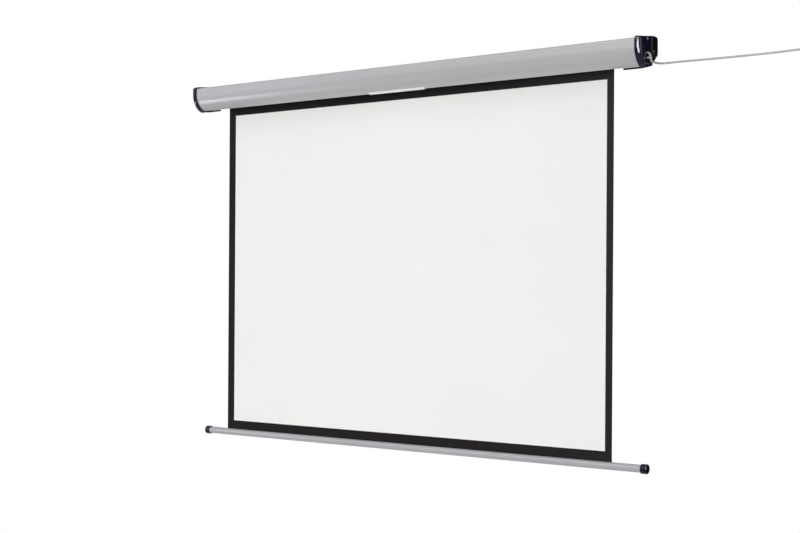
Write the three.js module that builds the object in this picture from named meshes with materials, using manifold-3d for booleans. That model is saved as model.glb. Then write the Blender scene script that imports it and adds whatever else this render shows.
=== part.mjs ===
// Motorized projector screen, let down: a wall-hung aluminium case holds a roller with a tubular motor
// inside, and the fabric hangs from the roller to a weighted bar.
// Millimetres, +Z up, +X to the right of a viewer who faces the screen, and the front faces -Y.
// The origin lies on the wall, midway between the two wall brackets, level with their keyholes.
import * as THREE from 'three';
import { mergeVertices } from 'three/addons/utils/BufferGeometryUtils.js';
import Module from 'manifold-3d';

const wasm = await Module();
wasm.setup();

// Driving dimensions: the picture and its fabric
const viewWidth = 1440;
const viewHeight = 1080;
const borderLeft = 30;
const borderRight = 22;
const borderBottom = 30;
const dropBelowCase = 21;
const fabricShift = 0.5;
const backingThickness = 0.4;
const faceThickness = 0.15;
const laminateGap = 0.1;

// Driving dimensions: the case, which is longer than the fabric is wide by its spare length
const caseSpare = 194;
const caseDepth = 80.5;
const caseHeight = 77;
const caseWall = 1.6;
const caseCurveRadius = 60;
const caseTopRadius = 6;
const caseRearRadius = 3;
const wallToCase = 42.5;
const hangHeight = 59;
const fabricSetback = 5.5;
const lipToFabric = 34;
const lipHeight = 6;
const rearOpening = 10;
const bossRadius = 4.2;
const bossBore = 1.9;
const bossSlit = 1.6;
const bossSink = 0.7;
const frontBossTurn = 25;

// Driving dimensions: the end caps and their tongues
const capLength = 18;
const capOverlap = 4;
const capProud = 3.5;
const capWall = 3;
const capEdgeRadius = 6;
const capFrontRadius = 10;
const capRearRise = 12;
const capHeelRise = 10.5;
const capHeelDepth = 37;
const tongueLength = 60;
const tongueDepth = 6;
const tongueHeight = 5;
const tongueDrop = 2;
const tongueSetback = 15;
const pocketWidth = 22;
const pocketHeight = 26;
const pocketDrop = 12;

// Driving dimensions: the wall brackets
const bracketDrop = 37;
const bracketTop = 36;
const bracketTopFall = 2.5;
const bracketCornerRadius = 11;
const bracketHeelDepth = 24;
const bracketHeelRise = 20;
const bracketWall = 3;
const bracketEdgeRadius = 3;
const keyholeRadius = 5.5;
const keyholeSlot = 5.5;
const keyholeLength = 14;
const sideKeyRadius = 3.2;
const sideKeySlot = 2.6;
const sideKeyLength = 11;
const sideKeySetback = 9;
const sideKeyLift = 28;
const sideSlotLength = 20;
const sideSlotWidth = 3.4;
const sideSlotLift = 14;

// Driving dimensions: the roller and what drives it
const rollerRadius = 25;
const rollerWall = 1.5;
const rollerLift = 39;
const wrapThickness = 0.8;
const grooveWidth = 5;
const grooveDepth = 4;
const grooveWall = 1.2;
const splineRadius = 1.7;
const motorRadius = 17.5;
const motorWall = 1;
const motorLength = 420;
const headRadius = 24;
const headLength = 30;
const headSpigotRadius = 13;
const crownLength = 14;
const wheelLength = 18;
const shaftRadius = 5;
const idlerLength = 32;
const idlerShoulder = 43.4;
const idlerPinRadius = 6;
const bushWall = 2.5;
const bushLength = 8;
const plateThickness = 2;
const limitScrewRadius = 2.8;
const limitScrewLength = 9;
const limitScrewSpacing = 9;
const boardShare = 0.9;
const boardThickness = 2;
const glandRadius = 5.7;
const glandOut = 2;
const glandRim = 1;

// Driving dimensions: the weighted bar, which is longer than the fabric is wide by its spare length
const barRadius = 11.3;
const barWall = 1.5;
const barSpare = 212;
const barShift = 3;
const barSlot = 2.6;
const barCapRadius = 14;
const barCapLength = 20;
const barCapFloor = 2.2;
const barCapRound = 3.5;
const hemRodRadius = 3;

// Driving dimensions: the lip guard, screws and clips
const guardLength = 215;
const guardWidth = 12;
const guardThickness = 1;
const guardHook = 3;
const capScrewRadius = 1.6;
const capScrewHead = 3.4;
const capScrewLength = 20;
const capScrewHeadHeight = 2.2;
const motorScrewRadius = 1.5;
const motorScrewHead = 2.8;
const motorScrewLength = 9;
const motorScrewHeadHeight = 1.8;
const bracketScrewRadius = 2;
const bracketScrewHead = 3.8;
const bracketScrewLength = 8;
const bracketScrewHeadHeight = 2.4;
const bracketScrewSpacing = 32;

// Driving dimensions: the mains cord, its coil and its plug
const cordRadius = 3;
const coilRadius = 36;
const coilPitch = 6.6;
const coilTurns = 7.25;
const coilClimbTurns = 0.5;
const coilStandoff = 5.3;
const runLength = 465;
const coilClear = 50;
const runDrop = 41.5;
const tieWall = 1.2;
const tieWidth = 8;
const tieSlack = 0.4;
const plugRadius = 18.5;
const plugLength = 42;
const plugNeckRadius = 6;
const plugFaceLength = 16;
const plugWaistRadius = 13;
const plugRound = 2;
const plugShift = 34;
const plugStandoff = 2;
const plugFall = 74;
const pinRadius = 2.4;
const pinLength = 19;
const pinSpacing = 19;
const wallClipWidth = 5;
const wallClipWall = 1.8;
const wallClipLobe = 8;
const nailRadius = 0.9;
const nailHead = 2.2;
const nailHeadHeight = 1;
const cordClipOut = 12;
const cordClipZ = -37.5;
const cordClipWidth = 15.5;
const cordClipHeight = 4.5;
const cordClipWall = 1.6;
const cordClipFloor = 4.6;

// Clearances, small edge breaks and cutting overrun
const fitGap = 0.3;
const runningGap = 0.3;
const edgeBreak = 1;
const leastRadius = 0.1;
const overrun = 5;

// Facet counts
const arcSteps = 6;
const bossArcSteps = 8;
const barArcSteps = 14;
const roundSteps = 32;
const smallSteps = 16;
const tinySteps = 12;
const socketSides = 6;
const cordSides = 8;
const cordSteps = 48;
const tailSteps = 10;
const coilSides = 6;
const coilSteps = 24;

// Lengths and places that the sizes above lead to
const fabricWidth = viewWidth + borderLeft + borderRight;
const caseLength = fabricWidth + caseSpare;
const barLength = fabricWidth + barSpare;
const caseRearY = -wallToCase;
const caseFrontY = caseRearY - caseDepth;
const caseBottomZ = -hangHeight;
const caseTopZ = caseBottomZ + caseHeight;
const caseEndX = caseLength / 2;
const capStartX = caseEndX - capOverlap;
const capEndX = capStartX + capLength;
const capRearY = caseRearY + capProud;
const fabricY = caseRearY - fabricSetback;
const lipY = fabricY - lipToFabric;
const curveY = caseFrontY + caseCurveRadius;
const curveZ = caseBottomZ + Math.sqrt(caseCurveRadius ** 2 - (curveY - lipY) ** 2);
const wrapInner = rollerRadius + fitGap;
const wrapOuter = wrapInner + wrapThickness;
const rollerY = fabricY - backingThickness / 2 - fitGap - wrapOuter;
const rollerZ = caseBottomZ + rollerLift;
const viewTopZ = caseBottomZ - dropBelowCase;
const viewBottomZ = viewTopZ - viewHeight;
const viewLeftX = fabricShift - viewWidth / 2;
const viewRightX = fabricShift + viewWidth / 2;
const fabricLeftX = viewLeftX - borderLeft;
const fabricRightX = fabricLeftX + fabricWidth;
const barZ = viewBottomZ - borderBottom - barRadius;

// Finishes, as seen
const finish = {
  silver: [0x9ea0a4, 0.38, 0.85],
  steel: [0xb4b6ba, 0.35, 0.9],
  zinc: [0xc4c6c8, 0.4, 0.85],
  navy: [0x0d0d22, 0.15, 0],
  black: [0x08080a, 0.3, 0],
  white: [0xebe9e6, 0.9, 0],
  backing: [0x1c1719, 0.8, 0],
  nylon: [0xe8e6e0, 0.45, 0],
  cord: [0xc9cacb, 0.5, 0],
  brass: [0xb89a5a, 0.35, 0.9],
  copper: [0x9c5a36, 0.45, 0.8],
  board: [0x24573a, 0.5, 0],
};

const screen = new THREE.Group();

function addPiece(name, geometry, [color, roughness, metalness]) {
  const material = new THREE.MeshStandardMaterial({ color, roughness, metalness });
  const mesh = new THREE.Mesh(geometry, material);
  mesh.name = name;
  screen.add(mesh);
  return mesh;
}

// A closed mesh with shared vertices, as a solid that can be joined and cut
function toSolid(geometry) {
  const bare = geometry.clone();
  bare.deleteAttribute('normal');
  bare.deleteAttribute('uv');
  const merged = mergeVertices(bare);
  const index = merged.index.array;
  const triangles = [];
  for (let i = 0; i < index.length; i += 3) {
    const [a, b, c] = [index[i], index[i + 1], index[i + 2]];
    if (a !== b && b !== c && c !== a) triangles.push(a, b, c);
  }
  const mesh = new wasm.Mesh({
    numProp: 3,
    vertProperties: new Float32Array(merged.attributes.position.array),
    triVerts: new Uint32Array(triangles),
  });
  return new wasm.Manifold(mesh);
}

function toGeometry(solid) {
  const mesh = solid.getMesh();
  const geometry = new THREE.BufferGeometry();
  geometry.setAttribute('position', new THREE.BufferAttribute(mesh.vertProperties, 3));
  geometry.setIndex(new THREE.BufferAttribute(mesh.triVerts, 1));
  return geometry;
}

function cut(geometry, ...cutters) {
  let solid = toSolid(geometry);
  for (const cutter of cutters) solid = solid.subtract(toSolid(cutter));
  return toGeometry(solid);
}

function join(geometry, ...others) {
  let solid = toSolid(geometry);
  for (const other of others) solid = solid.add(toSolid(other));
  return toGeometry(solid);
}

// A closed outline in Y and Z, pushed along X
function alongX(shape, startX, endX, curveSegments = arcSteps) {
  const geometry = new THREE.ExtrudeGeometry(shape, {
    depth: endX - startX,
    bevelEnabled: false,
    curveSegments,
  });
  const axes = new THREE.Matrix4().makeBasis(
    new THREE.Vector3(0, 1, 0), new THREE.Vector3(0, 0, 1), new THREE.Vector3(1, 0, 0));
  return geometry.applyMatrix4(axes).translate(startX, 0, 0);
}

// A profile of [radius, place] points that closes on itself, spun about an axis through the given point
function spin(profile, axis, [x, y, z], steps = roundSteps) {
  const points = profile.map(([radius, place]) => new THREE.Vector2(radius, place));
  points.push(points[0].clone());
  const geometry = new THREE.LatheGeometry(points, steps);
  if (axis === 'x') geometry.rotateZ(-Math.PI / 2);
  if (axis === 'z') geometry.rotateX(Math.PI / 2);
  return geometry.translate(x, y, z);
}

// Rings and discs; places run along the axis from low to high
function ringProfile(inner, outer, low, high) {
  return [[inner, low], [outer, low], [outer, high], [inner, high]];
}

function discProfile(radius, low, high) {
  return [[0, low], [radius, low], [radius, high], [0, high]];
}

function block(lowX, highX, lowY, highY, lowZ, highZ) {
  const geometry = new THREE.BoxGeometry(highX - lowX, highY - lowY, highZ - lowZ);
  return geometry.translate((lowX + highX) / 2, (lowY + highY) / 2, (lowZ + highZ) / 2);
}

// Outlines with equally many points, joined into one closed skin along X
function loft(outlines, places) {
  const rings = outlines.map((outline) => outline.getPoints(arcSteps).slice(0, -1));
  for (const ring of rings) if (THREE.ShapeUtils.isClockWise(ring)) ring.reverse();
  const count = rings[0].length;
  const vertices = [];
  rings.forEach((ring, i) => ring.forEach((p) => vertices.push(places[i], p.x, p.y)));
  const triangles = [];
  for (let i = 0; i < rings.length - 1; i += 1) {
    for (let j = 0; j < count; j += 1) {
      const [a, b] = [i * count + j, i * count + (j + 1) % count];
      triangles.push(a, b, b + count, a, b + count, a + count);
    }
  }
  const last = (rings.length - 1) * count;
  for (const [a, b, c] of THREE.ShapeUtils.triangulateShape(rings[0], [])) {
    triangles.push(a, c, b, last + a, last + b, last + c);
  }
  const geometry = new THREE.BufferGeometry();
  geometry.setAttribute('position', new THREE.Float32BufferAttribute(vertices, 3));
  geometry.setAttribute('normal', new THREE.Float32BufferAttribute(vertices, 3));
  geometry.setAttribute('uv', new THREE.Float32BufferAttribute(vertices.length / 3 * 2, 2));
  geometry.setIndex(triangles);
  return geometry;
}

// A moulded shell, open towards the case, with its outer face rounded over
const edgeShares = [0, 0.3, 0.6, 0.85, 1];

function mouldedShell(outline, wall, edge) {
  const places = edgeShares.map((share) => capEndX - edge + edge * Math.sin(share * Math.PI / 2));
  const insets = edgeShares.map((share) => edge * (1 - Math.cos(share * Math.PI / 2)));
  const skin = loft([outline(0), ...insets.map(outline)], [capStartX, ...places]);
  const hollow = loft([outline(wall), outline(wall)], [capStartX - overrun, capEndX - wall]);
  return cut(skin, hollow);
}

function mirrored(geometry) {
  const copy = geometry.index ? geometry.clone() : mergeVertices(geometry);
  copy.scale(-1, 1, 1);
  const index = copy.index.array;
  for (let i = 0; i < index.length; i += 3) [index[i + 1], index[i + 2]] = [index[i + 2], index[i + 1]];
  return copy;
}

// The case: a thin wall from the front lip round the front and over the top to the rear edge

// The front curve ends at the lip, before it lies level: how far round from straight down its end is
function lipAngle(radius, y) {
  return Math.asin((curveY - y) / radius);
}

function caseShape() {
  const rearInner = caseRearY - caseWall;
  const topY = caseFrontY + caseTopRadius;
  const topZ = caseTopZ - caseTopRadius;
  const rearY = caseRearY - caseRearRadius;
  const rearZ = caseTopZ - caseRearRadius;
  const lipTopZ = caseBottomZ + lipHeight;
  const rearEndZ = caseBottomZ + rearOpening;
  const outerAngle = lipAngle(caseCurveRadius, lipY);
  const innerAngle = lipAngle(caseCurveRadius - caseWall, lipY - caseWall);
  const shape = new THREE.Shape();
  shape.moveTo(lipY, lipTopZ);
  shape.absarc(curveY, curveZ, caseCurveRadius, -Math.PI / 2 - outerAngle, -Math.PI, true);
  shape.absarc(topY, topZ, caseTopRadius, Math.PI, Math.PI / 2, true);
  shape.absarc(rearY, rearZ, caseRearRadius, Math.PI / 2, 0, true);
  shape.lineTo(caseRearY, rearEndZ);
  shape.lineTo(rearInner, rearEndZ);
  shape.absarc(rearY, rearZ, caseRearRadius - caseWall, 0, Math.PI / 2, false);
  shape.absarc(topY, topZ, caseTopRadius - caseWall, Math.PI / 2, Math.PI, false);
  shape.absarc(curveY, curveZ, caseCurveRadius - caseWall, Math.PI, Math.PI * 3 / 2 - innerAngle, false);
  shape.lineTo(lipY - caseWall, lipTopZ);
  shape.closePath();
  return shape;
}

// Screw channels stand inside the case's corners and front curve, each with its slit towards the roller
const bossInset = caseWall + bossRadius - bossSink;
const frontBoss = THREE.MathUtils.degToRad(frontBossTurn);
const bossPlaces = [
  [caseFrontY + bossInset, caseTopZ - bossInset],
  [caseRearY - bossInset, caseTopZ - bossInset],
  [
    curveY - (caseCurveRadius - bossInset) * Math.cos(frontBoss),
    curveZ - (caseCurveRadius - bossInset) * Math.sin(frontBoss),
  ],
];

function bossShape([y, z]) {
  const towards = Math.atan2(rollerZ - z, rollerY - y);
  const outerHalf = Math.asin(bossSlit / 2 / bossRadius);
  const innerHalf = Math.asin(bossSlit / 2 / bossBore);
  const turn = Math.PI * 2;
  const shape = new THREE.Shape();
  shape.absarc(y, z, bossRadius, towards + outerHalf, towards + turn - outerHalf, false);
  shape.absarc(y, z, bossBore, towards + turn - innerHalf, towards + innerHalf, true);
  shape.closePath();
  return shape;
}

const caseBosses = bossPlaces.map((place) => alongX(bossShape(place), -caseEndX, caseEndX, bossArcSteps));
addPiece('case_extrusion', join(alongX(caseShape(), -caseEndX, caseEndX), ...caseBosses), finish.silver);

// The lip guard hooks over the middle of the front lip and lies along the front curve above it

function guardShape() {
  const inner = caseCurveRadius + fitGap;
  const outer = inner + guardThickness;
  const insideY = lipY + fitGap;
  const backY = insideY + guardThickness;
  const topZ = caseBottomZ + lipHeight + fitGap + guardThickness;
  const hookY = lipY - caseWall - fitGap - guardThickness;
  const straightDown = -Math.PI / 2;
  const front = straightDown - lipAngle(inner, lipY) - guardWidth / inner;
  const shape = new THREE.Shape();
  shape.absarc(curveY, curveZ, outer, front, straightDown - lipAngle(outer, backY), false);
  shape.lineTo(backY, topZ);
  shape.lineTo(hookY, topZ);
  shape.lineTo(hookY, topZ - guardHook);
  shape.lineTo(hookY + guardThickness, topZ - guardHook);
  shape.lineTo(hookY + guardThickness, topZ - guardThickness);
  shape.lineTo(insideY, topZ - guardThickness);
  shape.absarc(curveY, curveZ, inner, straightDown - lipAngle(inner, insideY), front, true);
  shape.closePath();
  return shape;
}

addPiece('lip_guard', alongX(guardShape(), -guardLength / 2, guardLength / 2), finish.nylon);

// The end caps sleeve over the case's ends, and a tongue of each reaches in under the case

function capOutline(inset) {
  const front = caseFrontY - capProud + inset;
  const bottom = caseBottomZ - capProud + inset;
  const rear = capRearY - inset;
  const top = caseTopZ + capProud - inset;
  const curve = caseCurveRadius + capProud - inset;
  const bottomAngle = Math.acos((curveZ - bottom) / curve);
  const corner = Math.max(capFrontRadius - inset, leastRadius);
  const shape = new THREE.Shape();
  shape.moveTo(capRearY - capHeelDepth, bottom);
  shape.absarc(curveY, curveZ, curve, -Math.PI / 2 - bottomAngle, -Math.PI, true);
  shape.absarc(front + corner, top - corner, corner, Math.PI, Math.PI / 2, true);
  shape.lineTo(rear, top + capRearRise);
  shape.lineTo(rear, bottom + capHeelRise);
  shape.closePath();
  return shape;
}

function tongue() {
  const frontY = lipY + tongueSetback;
  const lowZ = caseBottomZ - tongueDrop;
  return block(capStartX - tongueLength, capStartX + capWall, frontY, frontY + tongueDepth,
    lowZ, lowZ + tongueHeight);
}

// An oblong opening in the right cap lets the cord out beside the motor
function pocketCutter() {
  const half = pocketWidth / 2;
  const shape = new THREE.Shape();
  const highZ = rollerZ + pocketDrop;
  const lowZ = highZ - pocketHeight;
  shape.absarc(rollerY, highZ - half, half, 0, Math.PI, false);
  shape.absarc(rollerY, lowZ + half, half, Math.PI, Math.PI * 2, false);
  shape.closePath();
  return alongX(shape, capEndX - capWall - overrun, capEndX + overrun);
}

// Holes through the cap's rear wall for the screws that hold the bracket
const bracketScrewX = capStartX + capLength / 2;
const bracketScrewZ = (bracketTop - bracketDrop) / 2;
const bracketScrewPlaces = [-1, 1].map((side) => bracketScrewZ + side * bracketScrewSpacing / 2);

function bracketScrewHoles() {
  return bracketScrewPlaces.map((z) => spin(
    discProfile(bracketScrewRadius + fitGap, -overrun - capWall, overrun + bracketWall), 'y',
    [bracketScrewX, capRearY, z], smallSteps));
}

const capSleeve = join(mouldedShell(capOutline, capWall, capEdgeRadius), tongue());
const capShell = cut(capSleeve, ...bracketScrewHoles());
addPiece('end_cap_right', cut(capShell, pocketCutter()), finish.navy);
addPiece('end_cap_left', mirrored(capShell), finish.navy);

// The wall brackets: keyhole in the face on the wall, and a keyhole and a slot in the outer side

const bracketFrontY = capRearY + fitGap;

function bracketOutline(inset) {
  const front = bracketFrontY + inset;
  const rear = -inset;
  const top = bracketTop - inset;
  const bottom = -bracketDrop + inset;
  const corner = bracketCornerRadius - inset;
  const shape = new THREE.Shape();
  shape.moveTo(front, bottom);
  shape.lineTo(front, top - bracketTopFall);
  shape.absarc(rear - corner, top - corner, corner, Math.PI / 2, 0, true);
  shape.lineTo(rear, bottom + bracketHeelRise);
  shape.lineTo(-bracketHeelDepth, bottom);
  shape.closePath();
  return shape;
}

// A round hole with a slot above it, cut along an axis
function keyhole(axis, radius, slot, length, [x, y, z], depth) {
  const hole = spin(discProfile(radius, -depth, depth), axis, [x, y, z], smallSteps);
  const half = slot / 2;
  const [low, high] = length > 0 ? [z, z + length] : [z + length, z];
  const across = axis === 'x'
    ? block(x - depth, x + depth, y - half, y + half, low, high)
    : block(x - half, x + half, y - depth, y + depth, low, high);
  return join(hole, across);
}

const wallKeyholeX = capStartX + (capLength - bracketWall) / 2;
const wallKeyhole = keyhole('y', keyholeRadius, keyholeSlot, keyholeLength,
  [wallKeyholeX, 0, -keyholeLength / 2], bracketWall + overrun);
const sideKey = keyhole('x', sideKeyRadius, sideKeySlot, -sideKeyLength,
  [capEndX, bracketFrontY + sideKeySetback, sideKeyLift - bracketDrop], bracketWall + fitGap);
const sideSlotZ = sideSlotLift - bracketDrop;
const sideSlot = block(capEndX - bracketWall - fitGap, capEndX + overrun, bracketFrontY + bracketWall,
  bracketFrontY + bracketWall + sideSlotLength, sideSlotZ - sideSlotWidth, sideSlotZ);
const bracketShell = cut(mouldedShell(bracketOutline, bracketWall, bracketEdgeRadius),
  wallKeyhole, sideKey, sideSlot, ...bracketScrewHoles());
addPiece('wall_bracket_right', bracketShell, finish.black);
addPiece('wall_bracket_left', mirrored(bracketShell), finish.black);

// A pan-head screw whose head starts at the given place, with its shank towards the low end of the axis
const pointShare = 0.6;
const headRimShare = 0.5;
const headFlatShare = 0.7;
const plateStartX = caseEndX + fitGap;
const plateEndX = plateStartX + plateThickness;

function screw(axis, place, radius, head, length, headHeight) {
  const profile = [
    [0, -length], [radius * pointShare, -length], [radius, -length + radius], [radius, 0], [head, 0],
    [head, headHeight * headRimShare], [head * headFlatShare, headHeight], [0, headHeight],
  ];
  return spin(profile, axis, place, tinySteps);
}

bossPlaces.forEach(([y, z], i) => {
  const place = [plateEndX + fitGap, y, z];
  const geometry = screw('x', place, capScrewRadius, capScrewHead, capScrewLength, capScrewHeadHeight);
  addPiece(`cap_screw_right_${i + 1}`, geometry, finish.zinc);
  addPiece(`cap_screw_left_${i + 1}`, mirrored(geometry), finish.zinc);
});
bracketScrewPlaces.forEach((z, i) => {
  const place = [bracketScrewX, bracketFrontY + bracketWall + fitGap, z];
  const geometry = screw('y', place, bracketScrewRadius, bracketScrewHead, bracketScrewLength,
    bracketScrewHeadHeight);
  addPiece(`bracket_screw_right_${i + 1}`, geometry, finish.zinc);
  addPiece(`bracket_screw_left_${i + 1}`, mirrored(geometry), finish.zinc);
});

// The plates that carry the roller are screwed over the case's ends, inside the caps

function plateShape() {
  const front = caseFrontY + fitGap;
  const rear = caseRearY - fitGap;
  const top = caseTopZ - fitGap;
  const curve = caseCurveRadius - fitGap;
  const shape = new THREE.Shape();
  shape.absarc(curveY, curveZ, curve, -Math.PI / 2 - lipAngle(curve, lipY), -Math.PI, true);
  shape.absarc(front + caseTopRadius, top - caseTopRadius, caseTopRadius, Math.PI, Math.PI / 2, true);
  shape.lineTo(rear, top);
  shape.lineTo(rear, caseBottomZ + fitGap + rearOpening);
  shape.closePath();
  return shape;
}

function plateHole(radius, [y, z], steps) {
  return spin(discProfile(radius, -overrun, plateThickness + overrun), 'x', [plateStartX, y, z], steps);
}

function rollerPlate(holeRadius, extraHoles) {
  const screwHoles = bossPlaces.map((place) => plateHole(capScrewRadius + fitGap, place, smallSteps));
  return cut(alongX(plateShape(), plateStartX, plateEndX),
    plateHole(holeRadius, [rollerY, rollerZ], roundSteps), ...screwHoles, ...extraHoles);
}

// Two screws beside the spigot hold the motor's head to its plate
const motorScrewOffset = headSpigotRadius + motorScrewHead + fitGap;
const motorScrewPlaces = [rollerY - motorScrewOffset, rollerY + motorScrewOffset];
const headEndX = plateStartX - fitGap;
const headStartX = headEndX - headLength;

function motorScrewHoles(depth) {
  return motorScrewPlaces.map((y) => spin(
    discProfile(motorScrewRadius + fitGap, -depth, overrun), 'x', [plateEndX, y, rollerZ], smallSteps));
}

addPiece('motor_plate', rollerPlate(headSpigotRadius + fitGap, motorScrewHoles(overrun + plateThickness)),
  finish.steel);
motorScrewPlaces.forEach((y, i) => {
  addPiece(`motor_screw_${i + 1}`, screw('x', [plateEndX + fitGap, y, rollerZ], motorScrewRadius,
    motorScrewHead, motorScrewLength, motorScrewHeadHeight), finish.zinc);
});

// The motor's fixed head, with the two limit screws let into its underside
const spigotEndX = plateEndX + bushLength / 2;
const limitScrewX = [1, 2].map((i) => headStartX + i * limitScrewSpacing);
const limitScrewLowZ = rollerZ - headRadius;
const innerRadius = motorRadius - motorWall - fitGap;
const glandBore = glandRadius + fitGap;
const headProfile = [
  [0, headStartX - crownLength / 2], [innerRadius, headStartX - crownLength / 2],
  [innerRadius, headStartX], [headRadius, headStartX], [headRadius, headEndX],
  [headSpigotRadius, headEndX], [headSpigotRadius, spigotEndX], [glandBore, spigotEndX],
  [glandBore, headEndX - headLength / 2], [0, headEndX - headLength / 2],
];
const limitHoles = limitScrewX.map((x) => spin(
  discProfile(limitScrewRadius + fitGap, -overrun, limitScrewLength + fitGap), 'z',
  [x, rollerY, limitScrewLowZ], smallSteps));
addPiece('motor_head', cut(spin(headProfile, 'x', [0, rollerY, rollerZ]), ...limitHoles,
  ...motorScrewHoles(motorScrewLength + plateThickness)), finish.black);

// A limit screw has a hexagon socket in its low end
function limitScrew(x) {
  const place = [x, rollerY, limitScrewLowZ];
  const body = spin(discProfile(limitScrewRadius, 0, limitScrewLength), 'z', place, smallSteps);
  const socket = spin(discProfile(limitScrewRadius / 2, -overrun, limitScrewLength / 2), 'z', place,
    socketSides);
  return cut(body, socket);
}

addPiece('limit_screw_up', limitScrew(limitScrewX[0]), finish.nylon);
addPiece('limit_screw_down', limitScrew(limitScrewX[1]), finish.nylon);

// The tubular motor: an open tube with its working parts in a row inside it
const housingEndX = headStartX - fitGap;
const housingStartX = housingEndX - motorLength;
addPiece('motor_housing', spin(ringProfile(motorRadius - motorWall, motorRadius, housingStartX, housingEndX),
  'x', [0, rollerY, rollerZ]), finish.steel);

const motorParts = [
  { name: 'planetary_gearbox', lengthShare: 0.3, look: finish.steel },
  { name: 'motor_stator', lengthShare: 0.36, look: finish.copper },
  { name: 'holding_brake', lengthShare: 0.12, look: finish.steel },
  { name: 'run_capacitor', lengthShare: 0.12, look: finish.black },
];
const innerLength = housingEndX - crownLength / 2 - fitGap - housingStartX;
let partStartX = housingStartX;
for (const { name, lengthShare, look } of motorParts) {
  const partEndX = partStartX + innerLength * lengthShare;
  const profile = discProfile(innerRadius, partStartX, partEndX - fitGap);
  addPiece(name, spin(profile, 'x', [0, rollerY, rollerZ]), look);
  partStartX = partEndX;
}
const boardHalf = innerRadius * boardShare;
addPiece('control_board', block(partStartX, housingStartX + innerLength, rollerY - boardHalf,
  rollerY + boardHalf, rollerZ - boardThickness / 2, rollerZ + boardThickness / 2), finish.board);

// The output shaft carries the drive wheel, which turns the roller
const shaftStartX = housingStartX - fitGap - wheelLength;
const tubeInner = rollerRadius - rollerWall;
const wheelRadius = tubeInner - fitGap;
const grooveInnerZ = rollerZ + rollerRadius - rollerWall - grooveDepth;
const grooveHalf = grooveWidth / 2 + grooveWall;

function grooveNotch(startX, endX) {
  const half = grooveHalf + fitGap;
  return block(startX - overrun, endX + overrun, rollerY - half, rollerY + half, grooveInnerZ - fitGap,
    rollerZ + rollerRadius + overrun);
}

function notchedWheel(profile, startX, endX) {
  return cut(spin(profile, 'x', [0, rollerY, rollerZ]), grooveNotch(startX, endX));
}

addPiece('motor_shaft', spin(discProfile(shaftRadius, shaftStartX, housingStartX - fitGap), 'x',
  [0, rollerY, rollerZ], smallSteps), finish.steel);
addPiece('drive_wheel', notchedWheel(
  ringProfile(shaftRadius + fitGap, wheelRadius, shaftStartX, shaftStartX + wheelLength - fitGap),
  shaftStartX, shaftStartX + wheelLength), finish.nylon);

// The roller tube, with a groove along its top that holds the fabric's edge spline
const rollerEndX = headStartX - runningGap - fitGap;
const leftPlateEndX = -plateStartX;
const bushEndX = leftPlateEndX + bushLength - plateThickness;
const idlerStartX = bushEndX + runningGap;
const rollerStartX = idlerStartX + idlerShoulder;

function rollerTube() {
  const tube = spin(ringProfile(tubeInner, rollerRadius, rollerStartX, rollerEndX), 'x',
    [0, rollerY, rollerZ]);
  const half = grooveWidth / 2;
  const channel = block(rollerStartX, rollerEndX, rollerY - grooveHalf, rollerY + grooveHalf, grooveInnerZ,
    rollerZ + tubeInner);
  const groove = block(rollerStartX - overrun, rollerEndX + overrun, rollerY - half, rollerY + half,
    grooveInnerZ + grooveWall, rollerZ + rollerRadius + overrun);
  return cut(join(tube, channel), groove);
}

addPiece('roller_tube', rollerTube(), finish.steel);
addPiece('edge_spline', spin(discProfile(splineRadius, fabricLeftX, fabricRightX), 'x',
  [0, rollerY, grooveInnerZ + grooveWall + fitGap + splineRadius], smallSteps), finish.nylon);
addPiece('fabric_wraps', spin(ringProfile(wrapInner, wrapOuter, fabricLeftX, fabricRightX), 'x',
  [0, rollerY, rollerZ]), finish.backing);

// The crown turns with the roller round the fixed motor and counts its turns for the limits
addPiece('limit_crown', notchedWheel(
  ringProfile(motorRadius + runningGap, wheelRadius, rollerEndX - crownLength, rollerEndX),
  rollerEndX - crownLength, rollerEndX), finish.nylon);

// The idler end: a plug with a pin that runs in a bush in the left plate
const bushStartX = leftPlateEndX - plateThickness - fitGap - edgeBreak;
const pinEndX = bushStartX - bushWall;
const bushOuter = idlerPinRadius + runningGap + bushWall;
const idlerProfile = [
  [0, pinEndX], [idlerPinRadius - edgeBreak, pinEndX], [idlerPinRadius, pinEndX + edgeBreak],
  [idlerPinRadius, idlerStartX], [bushOuter, idlerStartX], [bushOuter, rollerStartX + fitGap],
  [wheelRadius, rollerStartX + fitGap], [wheelRadius, rollerStartX + idlerLength],
  [0, rollerStartX + idlerLength],
];
addPiece('idler_plug', notchedWheel(idlerProfile, rollerStartX, rollerStartX + idlerLength), finish.nylon);
addPiece('idler_plate', mirrored(rollerPlate(bushOuter + fitGap, [])), finish.steel);
const bushProfile = [
  [idlerPinRadius + runningGap, bushStartX], [bushOuter, bushStartX], [bushOuter, leftPlateEndX + fitGap],
  [bushOuter + bushWall, leftPlateEndX + fitGap], [bushOuter + bushWall, bushEndX],
  [idlerPinRadius + runningGap, bushEndX],
];
addPiece('idler_bush', spin(bushProfile, 'x', [0, rollerY, rollerZ]), finish.brass);

// The fabric: a black backing from the roller to the hem rod, with the white face laid on its front
const rodZ = barZ + barRadius - barWall - hemRodRadius - fitGap * 2;
const hemTopZ = rodZ + hemRodRadius + fitGap;
addPiece('black_backing', block(fabricLeftX, fabricRightX, fabricY - backingThickness / 2,
  fabricY + backingThickness / 2, hemTopZ, rollerZ), finish.backing);
const faceY = fabricY - backingThickness / 2 - laminateGap;
addPiece('viewing_surface', block(viewLeftX, viewRightX, faceY - faceThickness, faceY, viewBottomZ, viewTopZ),
  finish.white);

// The weighted bar: a slit tube round the hem rod, with a cap on each end

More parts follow.
